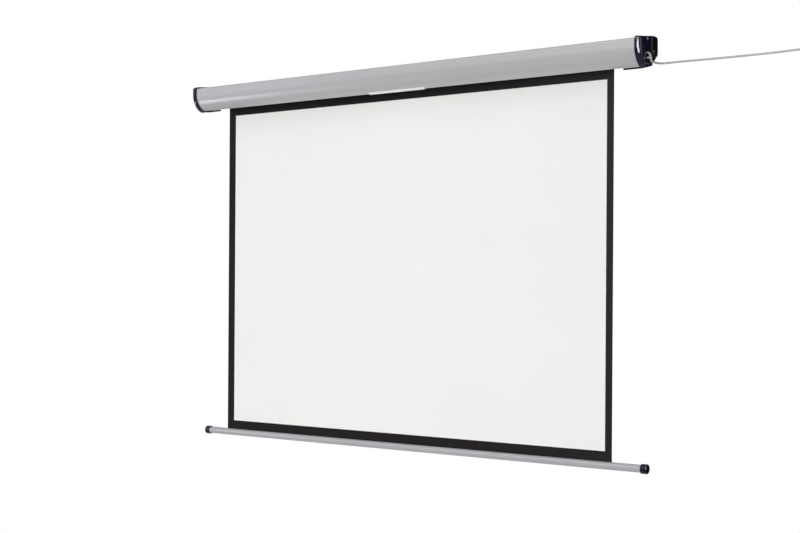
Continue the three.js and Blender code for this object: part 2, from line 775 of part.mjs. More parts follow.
function barShape() {
  const outerHalf = Math.asin(barSlot / 2 / barRadius);
  const inner = barRadius - barWall;
  const innerHalf = Math.asin(barSlot / 2 / inner);
  const turn = Math.PI * 2;
  const up = Math.PI / 2;
  const shape = new THREE.Shape();
  shape.absarc(fabricY, barZ, barRadius, up + outerHalf, up + turn - outerHalf, false);
  shape.absarc(fabricY, barZ, inner, up + turn - innerHalf, up + innerHalf, true);
  shape.closePath();
  return shape;
}

const barEndX = barLength / 2;
const barTubeEndX = barEndX - barCapFloor - fitGap;
addPiece('bottom_bar', alongX(barShape(), barShift - barTubeEndX, barShift + barTubeEndX, barArcSteps),
  finish.silver);
addPiece('hem_rod', spin(discProfile(hemRodRadius, fabricLeftX, fabricRightX), 'x', [0, fabricY, rodZ],
  smallSteps), finish.steel);

const roundMiddleShare = 1 - Math.SQRT1_2;

function barCap() {
  const middle = barCapRound * roundMiddleShare;
  const profile = [
    [barRadius + fitGap, barEndX - barCapLength], [barCapRadius - edgeBreak, barEndX - barCapLength],
    [barCapRadius, barEndX - barCapLength + edgeBreak], [barCapRadius, barEndX - barCapRound],
    [barCapRadius - middle, barEndX - middle], [barCapRadius - barCapRound, barEndX],
    [0, barEndX], [0, barEndX - barCapFloor], [barRadius + fitGap, barEndX - barCapFloor],
  ];
  return spin(profile, 'x', [0, fabricY, barZ]);
}

addPiece('bar_cap_right', barCap().translate(barShift, 0, 0), finish.navy);
addPiece('bar_cap_left', mirrored(barCap()).translate(barShift, 0, 0), finish.navy);

// The mains cord leaves the motor's spigot through a tapered gland
const glandStartX = headEndX - headLength / 2 + fitGap;
const glandEndX = spigotEndX + glandOut;
const glandProfile = [
  [0, glandStartX], [glandRadius, glandStartX], [glandRadius, spigotEndX - glandOut],
  [cordRadius + glandRim, glandEndX], [0, glandEndX],
];
addPiece('cord_gland', spin(glandProfile, 'x', [0, rollerY, rollerZ], smallSteps), finish.black);

// A clip on the right cap holds the cord's first bend, with a prong on each side of it
const clipLow = [capEndX + fitGap, rollerY - cordClipWidth / 2, cordClipZ];
const clipHigh = [capEndX + cordClipOut, rollerY + cordClipWidth / 2, cordClipZ + cordClipHeight];
const clipMouth = cordClipWidth / 2 - cordClipWall;
addPiece('cord_clip', cut(
  block(clipLow[0], clipHigh[0], clipLow[1], clipHigh[1], clipLow[2], clipHigh[2]),
  block(clipLow[0] + cordClipFloor, clipHigh[0] + overrun, rollerY - clipMouth, rollerY + clipMouth,
    clipLow[2] - overrun, clipHigh[2] + overrun)), finish.cord);

// The cord's way in millimetres: out of the gland, down and back along the right cap, then along the wall.
// Each point's X counts from the cap's end.
const runZ = -runDrop;
const wallClipX = capEndX + runLength;
const coilX = wallClipX + coilClear;
const coilStartX = coilX - cordRadius * 2;
const cordRoute = [
  [-5.4, -74.6, -20], [-3, -74.6, -20], [2.8, -74.6, -21.6], [7.3, -74.6, -26.2], [9, -74.6, -32.5],
  [9, -72.9, -38.8], [9, -68.4, -43.3], [9, -62, -45], [9, -50, -44.8], [9, -39, -44.2],
  [9.9, -25, -43.6], [15, -13.5, -43], [24, -7.2, -42.5], [35, -5.3, -42.2], [63, -5.3, -42.2],
  [123, -5.3, -42.8], [193, -5.3, -43.6], [263, -5.3, -44], [333, -5.3, -43.6], [393, -5.3, -42.6],
  [443, -5.3, -41.7], [465, -5.3, -41.5], [488, -5.3, -41.5], [508.7, -5.3, -41.5],
];

function toVectors(points, [x, y, z]) {
  return points.map((point) => new THREE.Vector3(point[0] + x, point[1] + y, point[2] + z));
}

function cordTube(points, origin, steps) {
  const corners = [];
  for (let i = 0; i < cordSides; i += 1) {
    const angle = i / cordSides * Math.PI * 2;
    corners.push(new THREE.Vector2(cordRadius * Math.cos(angle), cordRadius * Math.sin(angle)));
  }
  const path = new THREE.CatmullRomCurve3(toVectors(points, origin), false, 'centripetal');
  return new THREE.ExtrudeGeometry(new THREE.Shape(corners), { steps, extrudePath: path });
}

addPiece('mains_cord', cordTube(cordRoute, [capEndX, 0, 0], cordSteps), finish.cord);

// The rest is wound into a coil against the wall: it spirals in, climbs a layer, and spirals out again
const coilReach = coilPitch * coilTurns / 2;
const coilInner = coilRadius - coilReach / 2;
const coilOuter = coilRadius + coilReach / 2;
const coilZ = runZ - coilOuter;

function coilPoint(turns) {
  const radius = coilInner + coilPitch * Math.abs(turns - coilTurns / 2);
  const climb = THREE.MathUtils.clamp((turns - coilTurns / 2) / coilClimbTurns + 1 / 2, 0, 1);
  const angle = Math.PI / 2 - turns * Math.PI * 2;
  return new THREE.Vector3(
    coilX + radius * Math.cos(angle), -coilStandoff - coilPitch * climb, coilZ + radius * Math.sin(angle));
}

function coilPoints() {
  const count = coilTurns * coilSteps;
  const points = [new THREE.Vector3(coilStartX, -coilStandoff, runZ)];
  for (let i = 0; i <= count; i += 1) points.push(coilPoint(i / coilSteps));
  points.push(points.at(-1).clone().add(new THREE.Vector3(0, 0, -cordRadius * 2)));
  return points;
}

// A tube through the points whose rings stand upright on the wall's plane
function ringedTube(points, radius, sides) {
  const across = new THREE.Vector3(0, 1, 0);
  const vertices = [];
  points.forEach((point, i) => {
    const before = points[Math.max(i - 1, 0)];
    const after = points[Math.min(i + 1, points.length - 1)];
    const tangent = i === 1 ? new THREE.Vector3(1, 0, 0) : after.clone().sub(before).normalize();
    const out = new THREE.Vector3().crossVectors(across, tangent).normalize();
    const side = new THREE.Vector3().crossVectors(tangent, out);
    for (let j = 0; j < sides; j += 1) {
      const angle = j / sides * Math.PI * 2;
      const corner = point.clone().addScaledVector(out, radius * Math.cos(angle))
        .addScaledVector(side, radius * Math.sin(angle));
      vertices.push(...corner.toArray());
    }
  });
  const triangles = [];
  for (let i = 0; i < points.length - 1; i += 1) {
    for (let j = 0; j < sides; j += 1) {
      const [a, b] = [i * sides + j, i * sides + (j + 1) % sides];
      triangles.push(a, b, b + sides, a, b + sides, a + sides);
    }
  }
  const last = (points.length - 1) * sides;
  for (let j = 1; j < sides - 1; j += 1) triangles.push(0, j + 1, j, last, last + j, last + j + 1);
  const geometry = new THREE.BufferGeometry();
  geometry.setAttribute('position', new THREE.Float32BufferAttribute(vertices, 3));
  geometry.setIndex(triangles);
  return geometry;
}

function leastSelfGap(points, apart) {
  let least = Infinity;
  for (let i = 0; i < points.length; i += 1) {
    for (let j = i + apart; j < points.length; j += 1) {
      least = Math.min(least, points[i].distanceTo(points[j]) - cordRadius * 2);
    }
  }
  return least;
}

const coilPath = coilPoints();
console.log(`least gap of the coil to itself: ${leastSelfGap(coilPath, coilSteps / 2).toFixed(2)} mm`);
addPiece('cord_coil', ringedTube(coilPath, cordRadius, coilSides), finish.cord);

// A tie holds the turns together at the bottom of the coil
const tieY = [-coilStandoff + cordRadius + tieSlack, -coilStandoff - coilPitch - cordRadius - tieSlack];
const tieZ = [coilZ - coilInner + cordRadius + tieSlack, coilZ - coilOuter - cordRadius - tieSlack];
const tieHalf = tieWidth / 2;
addPiece('coil_tie', cut(
  block(coilX - tieHalf, coilX + tieHalf, tieY[1] - tieWall, tieY[0] + tieWall, tieZ[1] - tieWall,
    tieZ[0] + tieWall),
  block(coilX - tieHalf - overrun, coilX + tieHalf + overrun, tieY[1], tieY[0], tieZ[1], tieZ[0])),
finish.black);

// The tail hangs from the coil to the plug; its X and Z count from the coil's middle
const plugTop = [coilX + plugShift, -plugRadius - plugStandoff, coilZ - plugFall];
const tailRoute = [
  [47.96, -11.9, -6.3], [47.96, -11.9, -16], [47, -13, -28.5], [42, -16, -46.5], [37, -19.6, -60.5],
  [34, -20.5, -68], [34, -20.5, -73.7],
];
addPiece('cord_tail', cordTube(tailRoute, [coilX, 0, coilZ], tailSteps), finish.cord);

// A moulded plug with two round pins, hanging pins down
const plugProfile = [
  [0, -plugLength], [plugRadius - plugRound, -plugLength], [plugRadius, -plugLength + plugRound],
  [plugRadius, -plugLength + plugFaceLength], [plugWaistRadius, -plugLength + plugFaceLength + plugRound * 2],
  [plugWaistRadius, -plugFaceLength], [plugNeckRadius, -plugRound], [plugNeckRadius - edgeBreak, 0], [0, 0],
];
addPiece('plug_body', spin(plugProfile, 'z', plugTop), finish.cord);
const pinProfile = [
  [0, -pinLength], [pinRadius * pointShare, -pinLength], [pinRadius, -pinLength + pinRadius],
  [pinRadius, 0], [0, 0],
];
[-1, 1].forEach((side, i) => {
  const place = [plugTop[0] + side * pinSpacing / 2, plugTop[1], plugTop[2] - plugLength - fitGap];
  addPiece(`plug_pin_${i + 1}`, spin(pinProfile, 'z', place, tinySteps), finish.steel);
});

// A nailed clip holds the run to the wall just before the coil
const wallClipTop = runZ + cordRadius + wallClipLobe;
const wallClipBottom = runZ - cordRadius - fitGap - wallClipWall;
const wallClipFront = -coilStandoff - cordRadius - fitGap - wallClipWall;
const mouthHalf = cordRadius + fitGap;
const wallClipHalf = wallClipWidth / 2;
const nailZ = wallClipTop - wallClipLobe / 2;
addPiece('wall_clip', cut(
  block(wallClipX - wallClipHalf, wallClipX + wallClipHalf, wallClipFront, 0, wallClipBottom, wallClipTop),
  block(wallClipX - wallClipWidth, wallClipX + wallClipWidth, -coilStandoff - mouthHalf, overrun,
    runZ - mouthHalf, runZ + mouthHalf),
  spin(discProfile(nailRadius + fitGap, -overrun, overrun - wallClipFront), 'y',
    [wallClipX, wallClipFront, nailZ], tinySteps)), finish.nylon);
const nailProfile = [
  [0, 0], [nailHead, 0], [nailHead, nailHeadHeight], [nailRadius, nailHeadHeight],
  [nailRadius, nailHeadHeight - wallClipFront], [0, nailHeadHeight - wallClipFront],
];
const nailStart = [wallClipX, wallClipFront - fitGap - nailHeadHeight, nailZ];
addPiece('clip_nail', spin(nailProfile, 'y', nailStart, tinySteps), finish.steel);

export default screen;
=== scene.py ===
import math
import bmesh
import bpy
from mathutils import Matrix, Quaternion, Vector, noise


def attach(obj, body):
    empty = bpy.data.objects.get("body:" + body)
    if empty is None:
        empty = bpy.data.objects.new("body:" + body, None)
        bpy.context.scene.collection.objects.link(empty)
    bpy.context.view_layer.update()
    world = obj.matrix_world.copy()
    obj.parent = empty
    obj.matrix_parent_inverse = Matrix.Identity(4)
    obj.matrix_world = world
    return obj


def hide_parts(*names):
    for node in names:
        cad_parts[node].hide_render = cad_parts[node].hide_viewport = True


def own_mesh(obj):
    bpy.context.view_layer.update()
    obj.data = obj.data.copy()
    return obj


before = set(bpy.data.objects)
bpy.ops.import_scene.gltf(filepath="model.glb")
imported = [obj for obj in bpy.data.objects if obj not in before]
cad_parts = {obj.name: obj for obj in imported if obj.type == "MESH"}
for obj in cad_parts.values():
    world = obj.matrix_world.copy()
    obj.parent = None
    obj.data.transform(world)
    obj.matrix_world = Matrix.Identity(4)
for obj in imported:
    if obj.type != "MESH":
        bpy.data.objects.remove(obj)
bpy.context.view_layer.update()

scene = bpy.context.scene
scene.view_settings.view_transform = "Standard"
print("frame loaded:", len(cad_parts), "nodes")

# Camera: at the right of the screen, level, turned left towards it. Lengths here and below are in metres.
camera = {
    "lens": 57.12,
    "place": (2.32756, -3.41884, -0.69934),
    "turn": 34.6912,  # degrees
    "roll": 0.3571,
    "shiftRight": -0.00045, "shiftUp": 0.03107,
}


def addCamera(values):
    data = bpy.data.cameras.new("camera")
    data.sensor_width = 36
    data.lens = values["lens"]
    data.shift_x, data.shift_y = values["shiftRight"], values["shiftUp"]
    made = bpy.data.objects.new("camera", data)
    made.location = values["place"]
    made.rotation_euler = (math.radians(90), math.radians(-values["roll"]), math.radians(values["turn"]))
    scene.collection.objects.link(made)
    scene.camera = made


addCamera(camera)
print("camera in place")


# Node trees, for materials and for geometry alike
class Wire:
    def __init__(self, graph, socket):
        self.graph, self.socket = graph, socket

    def sums(self, operation, *values):
        sockets = dict(enumerate(values))
        return self.graph.node("ShaderNodeMath", {"operation": operation}, sockets)

    def __add__(self, other):
        return self.sums("ADD", self, other)

    def __radd__(self, other):
        return self.sums("ADD", other, self)

    def __sub__(self, other):
        return self.sums("SUBTRACT", self, other)

    def __rsub__(self, other):
        return self.sums("SUBTRACT", other, self)

    def __mul__(self, other):
        return self.sums("MULTIPLY", self, other)

    def __rmul__(self, other):
        return self.sums("MULTIPLY", other, self)

    # A share of this value, and the rest from the other
    def mixed(self, other, share):
        return self * share + other * (1 - share)

    # A pattern of 0 to 1 spread about a middle value
    def around(self, middle, swing):
        return self * swing + (middle - swing / 2)


class Graph:
    def __init__(self, tree):
        self.tree = tree
        tree.nodes.clear()

    def pick(self, sockets, key):
        if isinstance(key, int):
            return sockets[key]
        return next(s for s in sockets if s.enabled and key in (s.name, s.identifier))

    def node(self, kind, settings=None, sockets=None, output=0):
        made = self.tree.nodes.new(kind)
        for key, value in (settings or {}).items():
            if key == "stops":
                ramp = made.color_ramp.elements
                while len(ramp) < len(value):
                    ramp.new(0.5)
                for stop, (place, tone) in zip(ramp, value):
                    stop.position, stop.color = place, (*tone, 1)
            else:
                setattr(made, key, value)
        for key, value in (sockets or {}).items():
            slot = self.pick(made.inputs, key)
            if isinstance(value, Wire):
                self.tree.links.new(value.socket, slot)
            elif isinstance(value, (list, tuple)) and value and isinstance(value[0], Wire):
                for wire in value:
                    self.tree.links.new(wire.socket, slot)
            else:
                slot.default_value = value
        return Wire(self, self.pick(made.outputs, output)) if made.outputs else made


# Materials
class Finish(Graph):
    def __init__(self, name):
        self.material = bpy.data.materials.new(name)
        self.material.use_nodes = True
        super().__init__(self.material.node_tree)

    def place(self, scale=(1, 1, 1), source="Object"):
        found = self.node("ShaderNodeTexCoord", output=source)
        return self.node("ShaderNodeMapping", {}, {"Vector": found, "Scale": scale}, "Vector")

    def cloud(self, place, scale=1.0, detail=3.0):
        return self.node("ShaderNodeTexNoise", {}, {"Vector": place, "Scale": scale, "Detail": detail}, "Fac")

    def cells(self, place, scale, output):
        return self.node("ShaderNodeTexVoronoi", {}, {"Vector": place, "Scale": scale}, output)

    def tone(self, factor, low, high):
        sockets = {"Factor": factor, "A": (*low, 1), "B": (*high, 1)}
        return self.node("ShaderNodeMix", {"data_type": "RGBA"}, sockets, "Result")

    def bump(self, height, strength, distance):
        sockets = {"Height": height, "Strength": strength, "Distance": distance}
        return self.node("ShaderNodeBump", {}, sockets, "Normal")

    def shade(self, sockets):
        shader = self.node("ShaderNodeBsdfPrincipled", {}, sockets, "BSDF")
        self.node("ShaderNodeOutputMaterial", {}, {"Surface": shader})
        return self.material


aluminium = {
    "caseLow": (0.405, 0.405, 0.421),
    "caseHigh": (0.479, 0.477, 0.488),
    "barLow": (0.375, 0.375, 0.393),
    "barHigh": (0.482, 0.482, 0.502),
    "metallic": 0.16,
    "roughness": 0.3, "roughnessSwing": 0.12,
    "drawLines": (0.6, 900.0, 900.0),  # lines per metre: they run along X
    "patches": (1.2, 6, 6), "patchScale": 2.2,
    "grainScale": 2600.0,
    "relief": 0.12, "reliefDepth": 0.0002,
}


def anodised(name, low, high):
    finish = Finish(name)
    lines = finish.cloud(finish.place(aluminium["drawLines"]), detail=4.0)
    patches = finish.cloud(finish.place(aluminium["patches"]), aluminium["patchScale"])
    grain = finish.cloud(finish.place(), aluminium["grainScale"], detail=2.0)
    return finish.shade({
        "Base Color": finish.tone(lines.mixed(patches, 0.35), low, high),
        "Metallic": aluminium["metallic"],
        "Roughness": lines.around(aluminium["roughness"], aluminium["roughnessSwing"]),
        "Normal": finish.bump(lines.mixed(grain, 0.7), aluminium["relief"], aluminium["reliefDepth"]),
    })


# Mouldings and powder coat: a fine grain over faint patches of tone
def moulded(name, low, high, roughness, reflect, grainScale, relief):
    finish = Finish(name)
    place = finish.place()
    patches = finish.cloud(place, scale=14.0)
    grain = finish.cloud(place, grainScale, detail=2.0)
    return finish.shade({
        "Base Color": finish.tone(patches, low, high),
        "Roughness": grain.around(0.0, 0.06) + patches.around(roughness, 0.05),
        "Specular IOR Level": reflect,
        "Normal": finish.bump(grain, relief, distance=0.0004),
    })


# Bare and plated metal: spangle is the share of its flakes in the tone
def plated(name, low, high, roughness, spangle):
    finish = Finish(name)
    place = finish.place()
    flake = finish.node("ShaderNodeSeparateColor", {}, {"Color": finish.cells(place, 130.0, "Color")}, 0)
    patches = finish.cloud(place, scale=24.0)
    scratches = finish.cloud(finish.place((40, 900, 900)))
    return finish.shade({
        "Base Color": finish.tone(flake.mixed(patches, spangle), low, high),
        "Metallic": 0.85,
        "Roughness": flake * (0.16 * spangle) + scratches.around(roughness, 0.1),
        "Normal": finish.bump(scratches, strength=0.08, distance=0.0002),
    })


# Coated screen fabric, with its embossed cells on the cloth's own map
def vinyl(name, low, high, roughness, embossScale, relief):
    finish = Finish(name)
    place = finish.place(source="UV")
    cells = finish.cells(place, embossScale, "Distance")
    pores = finish.cloud(place, embossScale * 2.2, detail=2.0)
    patches = finish.cloud(place, scale=3.0)
    return finish.shade({
        "Base Color": finish.tone(patches.mixed(cells, 0.8), low, high),
        "Roughness": pores.around(roughness, 0.1),
        "Specular IOR Level": 0.12,
        "Normal": finish.bump(cells.mixed(pores, 0.6), relief, distance=0.0003),
    })


def windings(name, low, high):
    finish = Finish(name)
    place = finish.place()
    wires = finish.node("ShaderNodeTexWave", {"bands_direction": "X"},
        {"Vector": place, "Scale": 420.0, "Distortion": 0.6, "Detail": 1.0}, "Fac")
    patches = finish.cloud(place, scale=60.0)
    return finish.shade({
        "Base Color": finish.tone(wires.mixed(patches, 0.7), low, high),
        "Metallic": 0.6,
        "Roughness": patches.around(0.375, 0.15),
        "Normal": finish.bump(wires, strength=0.5, distance=0.0004),
    })


def laminate(name, low, high):
    finish = Finish(name)
    tracks = finish.node("ShaderNodeTexBrick", {"offset": 0.5, "squash": 1.0},
        {"Vector": finish.place((220, 220, 220)), "Scale": 1.0, "Mortar Size": 0.06}, "Fac")
    patches = finish.cloud(finish.place(), scale=90.0)
    return finish.shade({
        "Base Color": finish.tone(tracks.mixed(patches, 0.8), low, high),
        "Roughness": patches.around(0.37, 0.1),
        "Normal": finish.bump(tracks, strength=0.3, distance=0.0002),
    })


# One finish for each slot of the record. After its name come its darkest and palest tones, then
# - moulded: roughness, reflection, grains in a metre, relief
# - plated: roughness, spangle
# - vinyl: roughness, cells in a metre, relief
finishes = {
    "silver_case": anodised("anodisedCase", aluminium["caseLow"], aluminium["caseHigh"]),
    "silver_bar": anodised("anodisedBar", aluminium["barLow"], aluminium["barHigh"]),
    "galvanised_steel": plated("galvanisedSteel", (0.36, 0.37, 0.39), (0.55, 0.56, 0.58), 0.36, 0.7),
    "zinc_screw": plated("zincScrews", (0.5, 0.51, 0.52), (0.66, 0.66, 0.64), 0.28, 0.1),
    "navy_plastic": moulded("navyGloss",
        (0.003, 0.0028, 0.016), (0.006, 0.0052, 0.026), 0.1, 0.45, 420, 0.02),
    "black_metal": moulded("blackPowderCoat",
        (0.001, 0.001, 0.001), (0.002, 0.002, 0.002), 0.24, 0.3, 1500, 0.08),
    "black_plastic": moulded("blackMoulding",
        (0.008, 0.008, 0.01), (0.016, 0.016, 0.018), 0.42, 0.4, 1100, 0.16),
    "white_vinyl": vinyl("whiteVinyl", (0.80, 0.79, 0.775), (0.85, 0.84, 0.825), 0.85, 760, 0.10),
    "black_fabric": vinyl("blackVinyl", (0.0085, 0.0062, 0.0068), (0.0135, 0.01, 0.0112), 0.62, 760, 0.25),
    "white_nylon": moulded("whiteNylon", (0.79, 0.79, 0.79), (0.87, 0.87, 0.86), 0.4, 0.5, 700, 0.06),
    "cord_grey": moulded("greySheath", (0.35, 0.36, 0.365), (0.44, 0.45, 0.455), 0.42, 0.4, 1300, 0.10),
    "sintered_bronze": plated("sinteredBronze", (0.36, 0.22, 0.07), (0.56, 0.38, 0.14), 0.46, 0.2),
    "copper_windings": windings("copperWindings", (0.12, 0.028, 0.008), (0.48, 0.16, 0.05)),
    "circuit_board": laminate("greenLaminate", (0.012, 0.07, 0.03), (0.08, 0.22, 0.09)),
}
print("finishes made:", len(finishes))


# Shapes: outlines are (Y, Z) points, anticlockwise; a negative inset lies outside
def rounded(corners, inset=0.0, steps=8):
    points = []
    for i, (y, z, radius) in enumerate(corners):
        before, after = corners[i - 1], corners[(i + 1) % len(corners)]
        come = Vector((y - before[0], z - before[1])).normalized()
        go = Vector((after[0] - y, after[1] - z)).normalized()
        inCome, inGo = Vector((-come.y, come.x)), Vector((-go.y, go.x))
        place = Vector((y, z)) + (inCome + inGo) * inset / (1 + inCome.dot(inGo))
        side = 1 if come.x * go.y - come.y * go.x > 0 else -1
        turn = math.acos(max(-1, min(1, come.dot(go))))
        reach = max(radius - side * inset, 1e-5)
        centre = place - come * reach * math.tan(turn / 2) + inCome * reach * side
        start = math.atan2(-inCome.y * side, -inCome.x * side)
        for k in range(steps + 1):
            angle = start + side * turn * k / steps
            points.append((centre.x + reach * math.cos(angle), centre.y + reach * math.sin(angle)))
    return points


# A round hole with a slot out of its top, or out of its foot where the length is negative
def keyhole(y, z, radius, slot, length, inset=0.0, steps=20):
    radius, half, end = radius - inset, slot / 2 - inset, length - inset
    opening = math.asin(half / radius)
    up = math.copysign(math.pi / 2, length)
    points = []
    for k in range(steps + 1):
        angle = up + opening + (2 * math.pi - 2 * opening) * k / steps
        points.append((y + radius * math.cos(angle), z + radius * math.sin(angle)))
    side = 1 if length > 0 else -1
    tip = z + (abs(length) - inset) * side
    return points + [(y + half * side, tip), (y - half * side, tip)]


def link(name, mesh, material=None):
    made = bpy.data.objects.new(name, mesh)
    scene.collection.objects.link(made)
    if material is not None:
        mesh.materials.append(material)
    return made


def fromMesh(name, build, material=None):
    build.normal_update()
    mesh = bpy.data.meshes.new(name)
    build.to_mesh(mesh)
    build.free()
    return link(name, mesh, material)


# Rings of equally many points joined into one skin, closed at both ends or into a loop
def addSkin(build, rings, loop=False):
    rows = [[build.verts.new(point) for point in ring] for ring in rings]
    count = len(rows[0])
    for i in range(len(rows) if loop else len(rows) - 1):
        low, high = rows[i], rows[(i + 1) % len(rows)]
        for j in range(count):
            build.faces.new((low[j], low[(j + 1) % count], high[(j + 1) % count], high[j]))
    if not loop:
        build.faces.new(rows[0][::-1])
        build.faces.new(rows[-1])
    return rows


def tidied(build):
    bmesh.ops.remove_doubles(build, verts=build.verts, dist=1e-7)
    bmesh.ops.dissolve_degenerate(build, edges=build.edges, dist=1e-8)
    bmesh.ops.recalc_face_normals(build, faces=build.faces)
    return build


def loft(name, rings, material=None, loop=False):
    build = bmesh.new()
    addSkin(build, rings, loop)
    return fromMesh(name, tidied(build), material)


# A flat outline set square to an axis, at its place along it
def facing(outline, axis, place):
    if axis == "x":
        return [(place, a, b) for a, b in outline]
    if axis == "y":
        return [(a, place, b) for a, b in outline]
    return [(a, b, place) for a, b in outline]


# An outline's insets at stations of (place, inset) along an axis
def drawn(corners, stations, axis="x", steps=8):
    return [facing(rounded(corners, inset, steps), axis, place) for place, inset in stations]


def boxCorners(lowY, highY, lowZ, highZ, radius):
    return [(y, z, radius) for y, z in ((lowY, lowZ), (highY, lowZ), (highY, highZ), (lowY, highZ))]


# An outline that turns from the first to the second between two values of Y
def faded(first, second, start, end):
    ring = []
    for a, b in zip(first, second):
        share = max(0, min(1, (a[0] - start) / (end - start)))
        ring.append((a[0] + (b[0] - a[0]) * share, a[1] + (b[1] - a[1]) * share))
    return ring


# A profile of (radius, place) points spun about an axis through a point
def turned(name, profile, axis, centre, material=None, steps=48):
    rings = []
    for radius, place in profile:
        ring = []
        for k in range(steps):
            angle = 2 * math.pi * k / steps
            a, b = max(radius, 1e-9) * math.cos(angle), max(radius, 1e-9) * math.sin(angle)
            point = {"x": (place, a, b), "y": (b, place, a), "z": (a, b, place)}[axis]
            ring.append(Vector(centre) + Vector(point))
        rings.append(ring)
    return loft(name, rings, material, loop=profile[0][0] > 0 and profile[-1][0] > 0)


# A tube's outline with a slit along one side, about a point, the slit at an angle
def slitRing(centre, outer, inner, halfSlit, towards, steps):
    points = []
    for radius, sense in ((outer, 1), (inner, -1)):
        half = math.asin(halfSlit / radius)
        for k in range(steps + 1):
            angle = towards + half + (2 * math.pi - 2 * half) * (k if sense > 0 else steps - k) / steps
            points.append((centre[0] + radius * math.cos(angle), centre[1] + radius * math.sin(angle)))
    return points


# Points of (radius, place) on an arc, its angles in degrees
def arcPoints(centreRadius, centrePlace, radius, start, end, steps=6):
    points = []
    for k in range(steps + 1):
        angle = math.radians(start + (end - start) * k / steps)
        points.append((centreRadius + radius * math.cos(angle), centrePlace + radius * math.sin(angle)))
    return points


# Stations of (place, inset) along a piece: a quarter round up to its end
def roundOver(end, reach, depth, steps=8):
    stations = []
    for k in range(steps + 1):
        angle = math.pi / 2 * k / steps
        stations.append((end - reach * (1 - math.sin(angle)), depth * (1 - math.cos(angle))))
    return stations


# Stations from one end of a piece to the other, each end with a small soft edge
def softEnds(low, high, edge, share=0.3):
    stations = [(low, edge), (low + edge * share, edge * share), (low + edge, 0.0)]
    return stations + [(low + high - place, inset) for place, inset in stations[::-1]]


# The piece with its modifiers applied
def baked(piece):
    graph = bpy.context.evaluated_depsgraph_get()
    mesh = bpy.data.meshes.new_from_object(piece.evaluated_get(graph))
    piece.modifiers.clear()
    piece.data = mesh
    return piece


# The piece with other shapes cut out of it or joined to it, which are then gone
def carved(piece, cutters, operation="DIFFERENCE"):
    for cutter in cutters:
        modifier = piece.modifiers.new("cut", "BOOLEAN")
        modifier.operation, modifier.solver, modifier.object = operation, "EXACT", cutter
    baked(piece)
    for cutter in cutters:
        bpy.data.objects.remove(cutter)
    return piece


# Smooth faces that meet sharply at edges over the angle
def polished(piece, angle=34):
    for polygon in piece.data.polygons:
        polygon.use_smooth = True
    piece.data.set_sharp_from_angle(angle=math.radians(angle))
    modifier = piece.modifiers.new("normals", "WEIGHTED_NORMAL")
    modifier.keep_sharp = True
    return baked(piece)


# A cutter whose opening widens into a round edge at each of the faces that it passes
def flaredCutter(outline, axis, high, low, radius, overrun=0.006, steps=5):
    upper = roundOver(high, radius, -radius, steps)[::-1]
    lower = [(-place, inset) for place, inset in roundOver(-low, radius, -radius, steps)]
    stations = [(high + overrun, -radius), *upper, *lower, (low - overrun, -radius)]
    return loft("cutter", [facing(outline(inset), axis, place) for place, inset in stations])


# What a piece moves with, its slot of the record, which is not used, and the solids that it stands for, which
# are hidden
def settle(piece, body, slot, *nodes):
    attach(piece, body)
    if nodes:
        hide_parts(*nodes)
    return piece


# The lead: out of the motor's spigot, down and back along the right cap, along the wall, and into its coil
cord = {
    "radius": 0.003,
    "capEnd": 0.857,
    "exit": (0.8516, -0.0746, -0.020),
    "run": 0.465,  # from the cap's end to the clip nailed to the wall
    "coilClear": 0.050,
    "drop": 0.0415,
    "coilRadius": 0.036,
    "pitch": 0.0066,
    "turns": 7.25,
    "climbTurns": 0.5,
    "standoff": 0.0053,
    "stepsInTurn": 48,
    "route": [
        (-0.0054, -0.0746, -0.020), (-0.003, -0.0746, -0.020), (0.0028, -0.0746, -0.0216),
        (0.0073, -0.0746, -0.0262), (0.009, -0.0746, -0.0325), (0.009, -0.0729, -0.0388),
        (0.009, -0.0684, -0.0433), (0.009, -0.062, -0.045), (0.009, -0.050, -0.0448),
        (0.009, -0.039, -0.0442), (0.0099, -0.025, -0.0436), (0.015, -0.0135, -0.043),
        (0.024, -0.0072, -0.0425), (0.035, -0.0053, -0.0422), (0.063, -0.0053, -0.0422),
        (0.123, -0.0053, -0.0428), (0.193, -0.0053, -0.0436), (0.263, -0.0053, -0.044),
        (0.333, -0.0053, -0.0436), (0.393, -0.0053, -0.0426), (0.443, -0.0053, -0.0417),
        (0.465, -0.0053, -0.0415), (0.488, -0.0053, -0.0415),
    ],
    "tail": [  # X and Z from the coil's middle
        (0.04796, -0.0119, -0.006), (0.04796, -0.0119, -0.016), (0.047, -0.013, -0.0285),
        (0.042, -0.016, -0.0465), (0.037, -0.0196, -0.0605), (0.034, -0.0205, -0.068),
        (0.034, -0.0205, -0.0737),
    ],
}
coilReach = cord["pitch"] * cord["turns"] / 2
coilInner, coilOuter = cord["coilRadius"] - coilReach / 2, cord["coilRadius"] + coilReach / 2
wallClipX = cord["capEnd"] + cord["run"]
coilX, coilZ = wallClipX + cord["coilClear"], -cord["drop"] - coilOuter


def coilPoint(turn):
    radius = coilInner + cord["pitch"] * abs(turn - cord["turns"] / 2)
    climb = max(0, min(1, (turn - cord["turns"] / 2) / cord["climbTurns"] + 0.5))
    angle = math.pi / 2 - turn * 2 * math.pi
    across = -cord["standoff"] - cord["pitch"] * climb
    return Vector((coilX + radius * math.cos(angle), across, coilZ + radius * math.sin(angle)))


